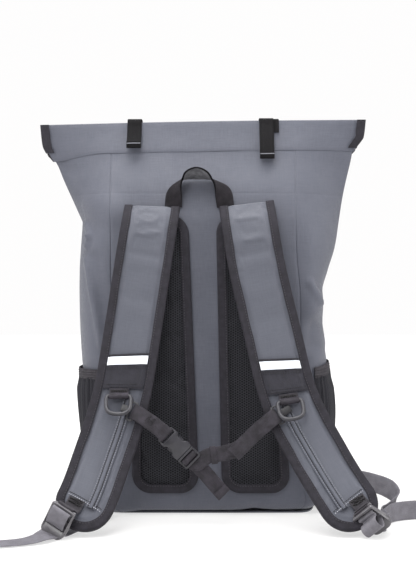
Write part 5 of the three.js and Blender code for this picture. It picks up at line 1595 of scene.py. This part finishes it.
def build_ring(strap):
    k = KEEPER
    height = STRAP_FACE + k["seat"] + k["outer"] + k["raise"]
    spot = KEEPER_PLACES[strap.name]
    at, along, across, out = strap.frame(spot["along"])
    centre = at + across * strap.side * spot["outward"] + out * height
    along, across = turned(along, across, out, -k["turn"] * strap.side)
    tilt = math.radians(RING_TILT)
    hang = along * math.cos(tilt) + out * math.sin(tilt)
    loop = np.array([centre + across * a - hang * h for a, h in RING_LOOP])
    path = catmull(loop, 10, closed=True)
    normal = np.cross(hang, across)
    shape = Shape()
    sweep(shape, path, every(normal, path), circle_section(RING_WIRE, 14), closed=True)
    name = strap.name
    shape.dress(f"d_ring_{name}", "moulded", HARD_LOOK, "hardware", body=f"ring_{name}")
    middle = (k["inner"] + k["outer"]) / 2
    turns = np.radians(np.linspace(*k["loop"]))
    route = [centre - along * (k["tail"] + k["past"]) - out * (k["outer"] + k["raise"] - 1.2)]
    route += [centre - along * k["tail"] * 0.5 - out * (middle + k["raise"] * 0.5)]
    route += [centre + along * middle * math.cos(a) + out * middle * math.sin(a) for a in turns]
    route += [centre - along * k["tail"] * 0.75 - out * (k["outer"] + k["raise"] - 3.2)]
    route += [centre - along * (k["tail"] + k["past"]) - out * (k["outer"] + k["raise"] - 2.8)]
    keeper = Shape()
    ribbon(keeper, route, every(across, route), k["width"], k["thick"], 1.0)
    keeper.dress(f"d_ring_keeper_{name}", "webbing", WEB_LOOK, "webbing", sharp=60)
    # Dark bar tacks across the keeper, also painted shadow under the patch's edge
    tack = Shape()
    beside_it = np.linspace(-KEEPER_TACK_SHADOW["half"], KEEPER_TACK_SHADOW["half"], 8)
    above = k["outer"] + k["raise"] - KEEPER_TACK_SHADOW["sunk"]
    for back in KEEPER_TACK_SHADOW["rows"]:
        row = np.array([centre + across * x - along * back - out * above for x in beside_it])
        stitches(tack, row, every(out, row), 3.0, 0.95, KEEPER_TACK_SHADOW["radius"])
    tack.build(f"keeper_bar_tacks_{name}", DARK_THREAD_AND_SHADE, "webbing")


# Moulded hardware: flat outlines with holes, thickened and rounded

def moulded(outlines, thick, round_by, bend=None):
    """Mesh points and faces of a plate from closed outlines (the later ones holes) in its own plane."""
    curve = bpy.data.curves.new("outline", "CURVE")
    curve.dimensions = "2D"
    curve.fill_mode = "BOTH"
    curve.extrude = thick - round_by
    curve.bevel_depth = round_by
    curve.bevel_resolution = 2
    curve.offset = -round_by
    for outline in outlines:
        spline = curve.splines.new("POLY")
        spline.points.add(len(outline) - 1)
        for point, (x, y) in zip(spline.points, outline):
            point.co = (x, y, 0, 1)
        spline.use_cyclic_u = True
    holder = bpy.data.objects.new("outline", curve)
    bpy.context.scene.collection.objects.link(holder)
    mesh = bpy.data.meshes.new_from_object(holder.evaluated_get(bpy.context.evaluated_depsgraph_get()))
    points = np.array([v.co for v in mesh.vertices])
    faces = [list(p.vertices) for p in mesh.polygons]
    bpy.data.objects.remove(holder, do_unlink=True)
    bpy.data.curves.remove(curve)
    bpy.data.meshes.remove(mesh)
    if bend is not None:
        points = bend(points)
    return points, faces


def rounded_outline(corners, radius, steps=5):
    """A polygon with its corners rounded; radius is one value or one for each corner."""
    corners = [np.array(c, float) for c in corners]
    radii = [radius] * len(corners) if np.isscalar(radius) else radius
    out = []
    for k, corner in enumerate(corners):
        before = corners[k - 1]
        after = corners[(k + 1) % len(corners)]
        into = before - corner
        away = after - corner
        r = min(radii[k], 0.45 * np.linalg.norm(into), 0.45 * np.linalg.norm(away))
        a = corner + into / np.linalg.norm(into) * r
        b = corner + away / np.linalg.norm(away) * r
        for t in np.linspace(0, 1, steps):
            out.append((1 - t) ** 2 * a + 2 * t * (1 - t) * corner + t * t * b)
    return np.array(out)


def rectangle(x0, x1, y0, y1):
    return [(x0, y0), (x1, y0), (x1, y1), (x0, y1)]


def slot_outline(x0, x1, half, radius):
    return rounded_outline(rectangle(x0, x1, -half, half), radius, 4)


def add_moulded(shape, place, outlines, thick, round_by, bend=None):
    at, along, across, out = place
    points, faces = moulded(outlines, thick, round_by, bend)
    world = at + points[:, :1] * along + points[:, 1:2] * across + points[:, 2:] * out
    shape.add(world, faces, [(0.0, 0.0)] * sum(len(f) for f in faces))


def slider_place(strap):
    """Middle of a slider on its rail, its directions, and the near and far sides of its bar."""
    c = SLIDER
    spot = SLIDER_PLACES[strap.name]
    at, along, across, out = strap.frame(spot["along"])
    centre = at + across * -strap.side * RAIL["inward"] + out * (STRAP_FACE + RAIL["lift"] + c["ride"])
    along, across = turned(along, across, out, c["turn"] * strap.side)
    return (centre, along, across * -strap.side, out), spot["reach"] - c["bar"], spot["reach"] + c["bar"]


def build_slider(strap):
    c = SLIDER
    (centre, along, inward, out), slot_to, far = slider_place(strap)
    half, clip, clip_half, jaw = c["half"], c["clip"], c["clip_half"], c["jaw"]
    slot_from = slot_to - c["slot"]
    near = slot_from - c["rim"]
    line = [
        (-clip, -clip_half), (clip, -clip_half), (clip, near), (half, near),
        (half, far), (-half, far), (-half, near), (-clip, near),
    ]
    outer = rounded_outline(line, [2, 2, 1.5, 3, 3.4, 3.4, 3, 1.5], 6)
    slot = rounded_outline(rectangle(-c["slot_half"], c["slot_half"], slot_from, slot_to), 1.8, 5)
    place = (centre + out * (c["roof"] + c["top"]) / 2, along, inward, out)
    shape = Shape()
    add_moulded(shape, place, [outer, slot], (c["top"] - c["roof"]) / 2, 0.6)
    low = (c["roof"] + c["low"]) / 2
    for edge in (-1, 1):
        foot = (centre + inward * edge * (clip_half - jaw) + out * low, along, inward, out)
        line = rounded_outline(rectangle(-clip, clip, -jaw, jaw), 0.5, 4)
        add_moulded(shape, foot, [line], (c["roof"] - c["low"]) / 2 + 0.4, 0.4)
    shape.dress(f"sternum_slider_{strap.name}", "moulded", SLIDER_LOOK, "hardware", sharp=40)


def buckle_place():
    along = unit(BUCKLE_AXIS)
    out = np.array((0.0, -1.0, 0.0))
    return np.array(BUCKLE_AT, float), along, np.cross(out, along), out


def build_buckle():
    b, m, r = BUCKLE, MALE, PRONG_RIBS
    place = buckle_place()
    half = b["half"]
    lower = [(x, -y) for x, y in BODY_LINE[::-1]]
    outline = rounded_outline(BODY_LINE + lower, BODY_RADII + BODY_RADII[::-1], 5)
    slot = slot_outline(b["bar"], b["slot"], b["slot_half"], 1)

    def swell_body(points):
        inside = ramp(points[:, 0], b["bar"], b["slot"] + 3)
        crown = 1 - 0.22 * (points[:, 1] / half) ** 2
        swelled = points.copy()
        swelled[:, 2] *= mix(0.45, 1.0, inside) * crown
        return swelled

    female = Shape()
    add_moulded(female, place, [outline, slot], b["height"], 1.0, swell_body)
    female.dress("buckle_female", "moulded", HARD_LOOK, "hardware", sharp=35)

    male = Shape()
    plate = rounded_outline(rectangle(m["slot_a"] - 0.6, m["to"], -half, half), [0.8, 3, 3, 0.8], 5)
    first = slot_outline(m["slot_a"] + 0.3, m["bar_a"], m["slot_half"], 0.8)
    second = slot_outline(m["bar_b"], m["slot_b"], m["slot_half"], 0.8)
    add_moulded(male, place, [plate, first, second], 1.3, 0.5)
    add_moulded(male, place, [slot_outline(m["from"], m["slot_a"], half, 0.9)], 3.6, 0.7)
    for sign in (1, -1):
        prong = [(x, sign * y) for x, y in PRONG][::sign]
        add_moulded(male, place, [rounded_outline(prong, 0.9, 4)], 2.3, 0.6)
        for x in r["at"]:
            near, far = (sign * y for y in r["across"])
            rib = rectangle(x - r["half"], x + r["half"], near, far)[::sign]
            add_moulded(male, place, [rounded_outline(rib, 0.3, 3)], 2.6, 0.3)
    male.dress("buckle_male", "moulded", HARD_LOOK, "hardware", sharp=35)


def slider_hook(strap):
    c = SLIDER
    (centre, along, inward, out), slot_to, far = slider_place(strap)
    middle = (c["roof"] + c["top"]) / 2
    clear = (c["top"] - c["roof"]) / 2 + WEB / 2 + 0.35
    near = slot_to - WEB / 2 - 0.4
    route = [
        (far + 5, middle - clear - 0.6), (slot_to + 0.2, middle - clear - 0.15),
        (near - 0.1, middle - clear * 0.7), (near - 0.2, middle), (near - 0.1, middle + clear * 0.7),
        (slot_to + 0.2, middle + clear + 0.15), (far + 2, middle + clear + 0.3),
    ]
    return [centre + inward * a + out * b for a, b in route], [-along] * len(route)


def build_sternum(straps):
    at, along, across, out = buckle_place()
    b = BUCKLE
    m = MALE
    clear = b["thin"] + WEB / 2 + 0.4
    far = b["bar"] + WEB / 2 + 0.5
    hooked = [
        (-7, clear + 0.3), (b["bar"] - 0.2, clear + 0.15), (far + 0.1, clear * 0.7), (far + 0.2, 0),
        (far + 0.1, -clear * 0.7), (b["bar"] - 0.2, -clear - 0.15), (-6, -clear - 0.4),
    ]
    route, sides = slider_hook(straps["left"])
    route = route + [at + along * x + out * y for x, y in hooked]
    sides = sides + [across] * len(hooked)
    shape = Shape()
    ribbon(shape, route, sides, STERNUM_WIDTH, WEB, 1.2)
    shape.dress("sternum_webbing_left", "webbing", WEB_LOOK, "webbing", sharp=60)

    tack = Shape()
    start, stop = route[-len(hooked) - 1 : -len(hooked) + 1]
    for share in STERNUM_TACK["at"]:
        spot = mix(start, stop, share)
        spot = spot + out * STERNUM_TACK["lift"]
        zig = [spot + across * x + along * y for x, y in zigzag(*STERNUM_TACK["zigzag"])]
        stitches(tack, np.array(zig), every(out, zig), 3.0, 0.9, 0.4)
    tack.build("sternum_bar_tacks", DARK_THREAD_AND_SHADE, "webbing")

    hook, hook_sides = slider_hook(straps["right"])
    end = [np.array((x, y, z)) for x, z, y in STERNUM_END]
    end_side = unit(np.cross((0, -1, 0), end[-1] - end[0]))
    end_side = end_side if end_side @ hook_sides[0] > 0 else -end_side
    hook = end + hook[::-1]
    hook_sides = [end_side] * len(end) + hook_sides[::-1]
    middle = [np.array((x, STERNUM_DEPTH, z)) for x, z in STERNUM_MIDDLE]
    down = m["slot_a"] + 1.7
    up = m["slot_b"] - 1.9
    threading = [
        (m["to"] + 3, -clear - 0.5), (m["slot_b"], -clear), (up, -clear * 0.55), (up - 0.3, 0),
        (up - 0.5, clear * 0.5), (m["bar_b"], clear + 0.2), (m["bar_a"], clear + 0.2),
        (down + 0.3, clear * 0.5), (down, 0), (down, -clear * 1.2), (down + 1.8, -clear - 2.4),
        (m["slot_b"], -clear - 2.6), (m["to"] + 6, -clear - 2.6),
    ]
    threaded = [at + along * x + out * y for x, y in threading]
    depth = at[1] + clear + 2.6
    tail = [np.array((x, depth, z)) for x, z in STERNUM_TAIL]
    route = hook + middle + threaded + tail
    sides = []
    for k in range(len(route)):
        if len(hook) <= k < len(hook) + len(middle):
            toward = route[k + 1] - route[k - 1]
            beside = unit(np.cross((0, -1, 0), toward))
            sides.append(beside if beside @ sides[-1] > 0 else -beside)
        elif k < len(hook):
            sides.append(hook_sides[k])
        else:
            sides.append(across if across @ sides[-1] > 0 else -across)
    shape = Shape()
    ribbon(shape, route, sides, STERNUM_WIDTH, WEB, 1.3, 0.5)
    last = route[-1]
    ahead = unit(route[-1] - route[-2])
    fold = [last + ahead * x + out * y for x, y in STERNUM_FOLD]
    ribbon(shape, fold, every(sides[-1], fold), STERNUM_WIDTH, WEB, 1.2)
    shape.dress("sternum_webbing_right", "webbing", WEB_LOOK, "webbing", sharp=60)

    k = STERNUM_KEEPER
    toward = unit(middle[-1] - middle[-2])
    beside = np.cross((0, -1, 0), toward)
    spot = np.array((k["at"][0], STERNUM_DEPTH, k["at"][1]))
    line = rounded_outline(rectangle(-k["half"], k["half"], -k["high"], k["high"]), 1.2, 6)
    path = np.array([spot + beside * x - np.array((0, 1.0, 0)) * y for x, y in line])
    band = Shape()
    sweep(band, path, every(toward, path), rounded_section(k["width"], 1.0), closed=True)
    band.dress("sternum_keeper", "elastic", WEB_LOOK, "webbing", sharp=60)


def ladder_place(name):
    place = LADDER_PLACES[name]
    along = unit(place["along"])
    across = np.array(place["across"], float)
    across = unit(across - along * (across @ along))
    return np.array(place["at"], float), along, across, np.cross(along, across)


def build_ladder(strap):
    c = LADDER
    place = at, along, across, out = ladder_place(strap.name)
    low, high = c["ends"]
    line = rounded_outline(rectangle(low, high, -c["half"], c["half"]), c["corners"], 9)
    slots = [slot_outline(a, b, half, 1.2) for a, b, half in c["slots"]]

    def lipped(points):
        curl = ramp(points[:, 0], LADDER_CURL["from"], high)
        top = ramp(-points[:, 0], LADDER_CURL["from"], -low)
        bent = points.copy()
        bent[:, 2] += LADDER_CURL["lip"] * curl + LADDER_CURL["hood"] * top
        return bent

    shape = Shape()
    add_moulded(shape, place, [line, *slots], c["thick"], 0.9, lipped)
    pin_a, pin_b = LADDER_PIN["at"]
    ends = np.linspace(-c["half"] + 1.5, c["half"] - 1.5, 5)
    pin = np.array([at + along * pin_a + out * pin_b + across * x for x in ends])
    sweep(shape, pin, every(along, pin), circle_section(LADDER_PIN["radius"], 12))
    shape.dress(f"ladder_lock_{strap.name}", "moulded", LOCK_HIGHLIGHT_LOOK, "hardware", sharp=40)
    build_tab(strap, [at + along * a + out * b for a, b in TAB_HOOK], across)
    build_lower_webbing(strap.name, [at + along * a + out * b for a, b in THREADING[strap.name]], across)


def build_tab(strap, hook, across):
    """The loop of webbing that holds a ladder lock, and its bar tacks, thick and dark to paint their shade
    too.
    """
    start = strap.length - TAB["from"]
    aside = strap.side * TAB["outward"]
    seat = [strap.point(start + more, aside, STRAP_FACE + WEB / 2 + TAB["lift"]) for more in TAB["seat"]]
    sides = [strap.frame(start + more)[2] for more in TAB["seat"]]
    shape = Shape()
    ribbon(shape, seat + hook, sides + [across] * len(hook), TAB["width"], WEB, 1.2)
    shape.dress(f"strap_tab_{strap.name}", "webbing", TAB_LOOK, "webbing", sharp=60)
    # Thick dark bar tacks: stitches and painted shade of their grooves
    tack = Shape()
    for more in TAB_TACK_SHADE["at"]:
        s = start + more
        high = STRAP_FACE + WEB + TAB_TACK_SHADE["lift"]
        zig = np.array([strap.point(s + y, x + aside, high) for x, y in zigzag(*TAB_TACK_SHADE["zigzag"])])
        stitches(tack, zig, every(strap.frame(s)[3], zig), 3.2, 0.92, 0.7)
    tack.build(f"tab_bar_tacks_{strap.name}", DARK_THREAD_AND_SHADE, "webbing")


def free_webbing(rows, before_first=None, after_last=None):
    """Places of a free stretch of webbing, and the directions of its width."""
    spots = [np.array(row[:3], float) for row in rows]
    first = spots[0] if before_first is None else before_first
    last = spots[-1] if after_last is None else after_last
    sides = []
    for before, after, row in zip([first] + spots[:-1], spots[1:] + [last], rows):
        toward = unit(after - before)
        flat = unit(np.cross(toward, (0, 0, 1)))
        sides.append(np.array(Matrix.Rotation(math.radians(row[3]), 3, Vector(toward)) @ Vector(flat)))
    return spots, sides


def build_lower_webbing(name, threading, across):
    first, first_sides = free_webbing(LOWER_ANCHORED[name], after_last=threading[0])
    last, last_sides = free_webbing(LOWER_TAILS[name], before_first=threading[-1])
    sides = first_sides + [across] * len(threading) + last_sides
    for k in range(1, len(sides)):
        if sides[k] @ sides[k - 1] < 0:
            sides[k] = -sides[k]
    shape = Shape()
    ribbon(shape, first + threading + last, sides, LOWER_WIDTH, WEB, 1.4)
    shape.dress(f"lower_webbing_{name}", "webbing", LOWER_LOOK, "webbing", sharp=60)


# Stage: pale floor, soft light from above and in front, camera of the photograph

def build_stage():
    scene = bpy.context.scene
    scene.view_settings.view_transform = "Standard"
    floor_look = Look("floor")
    grain = floor_look.noise(3.0, 2.0)
    floor_colour = floor_look.blend(grain, *FLOOR_COLOURS)
    # Painted glow of the floor, by distance from the middle of the stage
    spread = floor_look.node("ShaderNodeVectorMath", operation="LENGTH")
    floor_look.feed(spread.inputs[0], floor_look.node("ShaderNodeTexCoord").outputs["Object"])
    glow = floor_look.spread(spread.outputs["Value"], *FLOOR_GLOW)
    floor_look.feed(floor_look.shader.inputs["Emission Strength"], glow)
    floor_look.finish(floor_colour, 0.6, None, Specular_IOR_Level=0.2, Emission_Color=(1, 1, 1, 1))
    mesh = bpy.data.meshes.new("floor")
    corners = rectangle(-FLOOR_REACH, FLOOR_REACH, -FLOOR_REACH, FLOOR_REACH)
    mesh.from_pydata([(x, y, 0) for x, y in corners], [], [(0, 1, 2, 3)])
    mesh.materials.append(floor_look.material)
    floor = bpy.data.objects.new("floor", mesh)
    scene.collection.objects.link(floor)

    world = bpy.data.worlds.new("studio")
    world.use_nodes = True
    tree = world.node_tree
    shade = tree.nodes["Background"]
    shade.inputs["Color"].default_value = (1.0, 1.0, 1.0, 1)
    shade.inputs["Strength"].default_value = WORLD_LIGHT
    bright = tree.nodes.new("ShaderNodeBackground")
    bright.inputs["Color"].default_value = BACKGROUND
    bright.inputs["Strength"].default_value = 1.0
    path = tree.nodes.new("ShaderNodeLightPath")
    blend = tree.nodes.new("ShaderNodeMixShader")
    tree.links.new(path.outputs["Is Camera Ray"], blend.inputs[0])
    tree.links.new(shade.outputs[0], blend.inputs[1])
    tree.links.new(bright.outputs[0], blend.inputs[2])
    tree.links.new(blend.outputs[0], tree.nodes["World Output"].inputs["Surface"])
    scene.world = world

    for name, at, size, power in LAMPS:
        light = bpy.data.lights.new(name, "AREA")
        light.shape = "RECTANGLE"
        light.size, light.size_y = size
        light.energy = power
        holder = bpy.data.objects.new(name, light)
        holder.location = at
        holder.rotation_mode = "QUATERNION"
        holder.rotation_quaternion = (Vector(LAMP_AIM) - Vector(at)).to_track_quat("-Z", "Y")
        scene.collection.objects.link(holder)

    camera = bpy.data.cameras.new("camera")
    camera.sensor_width = SENSOR
    camera.lens = SENSOR * FOCAL / FRAME_HIGH
    holder = bpy.data.objects.new("camera", camera)
    holder.location = Vector(CAMERA_AT) * MM
    holder.rotation_euler = (math.pi / 2, 0, 0)
    scene.collection.objects.link(holder)
    scene.camera = holder


build_stage()
build_bag()
build_hems()
build_mouth_bindings()
build_top_straps()
build_handle()
straps = {name: Strap(name) for name in SIDES}
queue_pads()
queue_straps(straps)
results = run_swelling()
build_pads(results)
for name, side in SIDES.items():
    build_pocket(name, side)
for strap in straps.values():
    build_strap(strap, results)
    build_ring(strap)
    build_slider(strap)
    build_ladder(strap)
build_buckle()
build_sternum(straps)
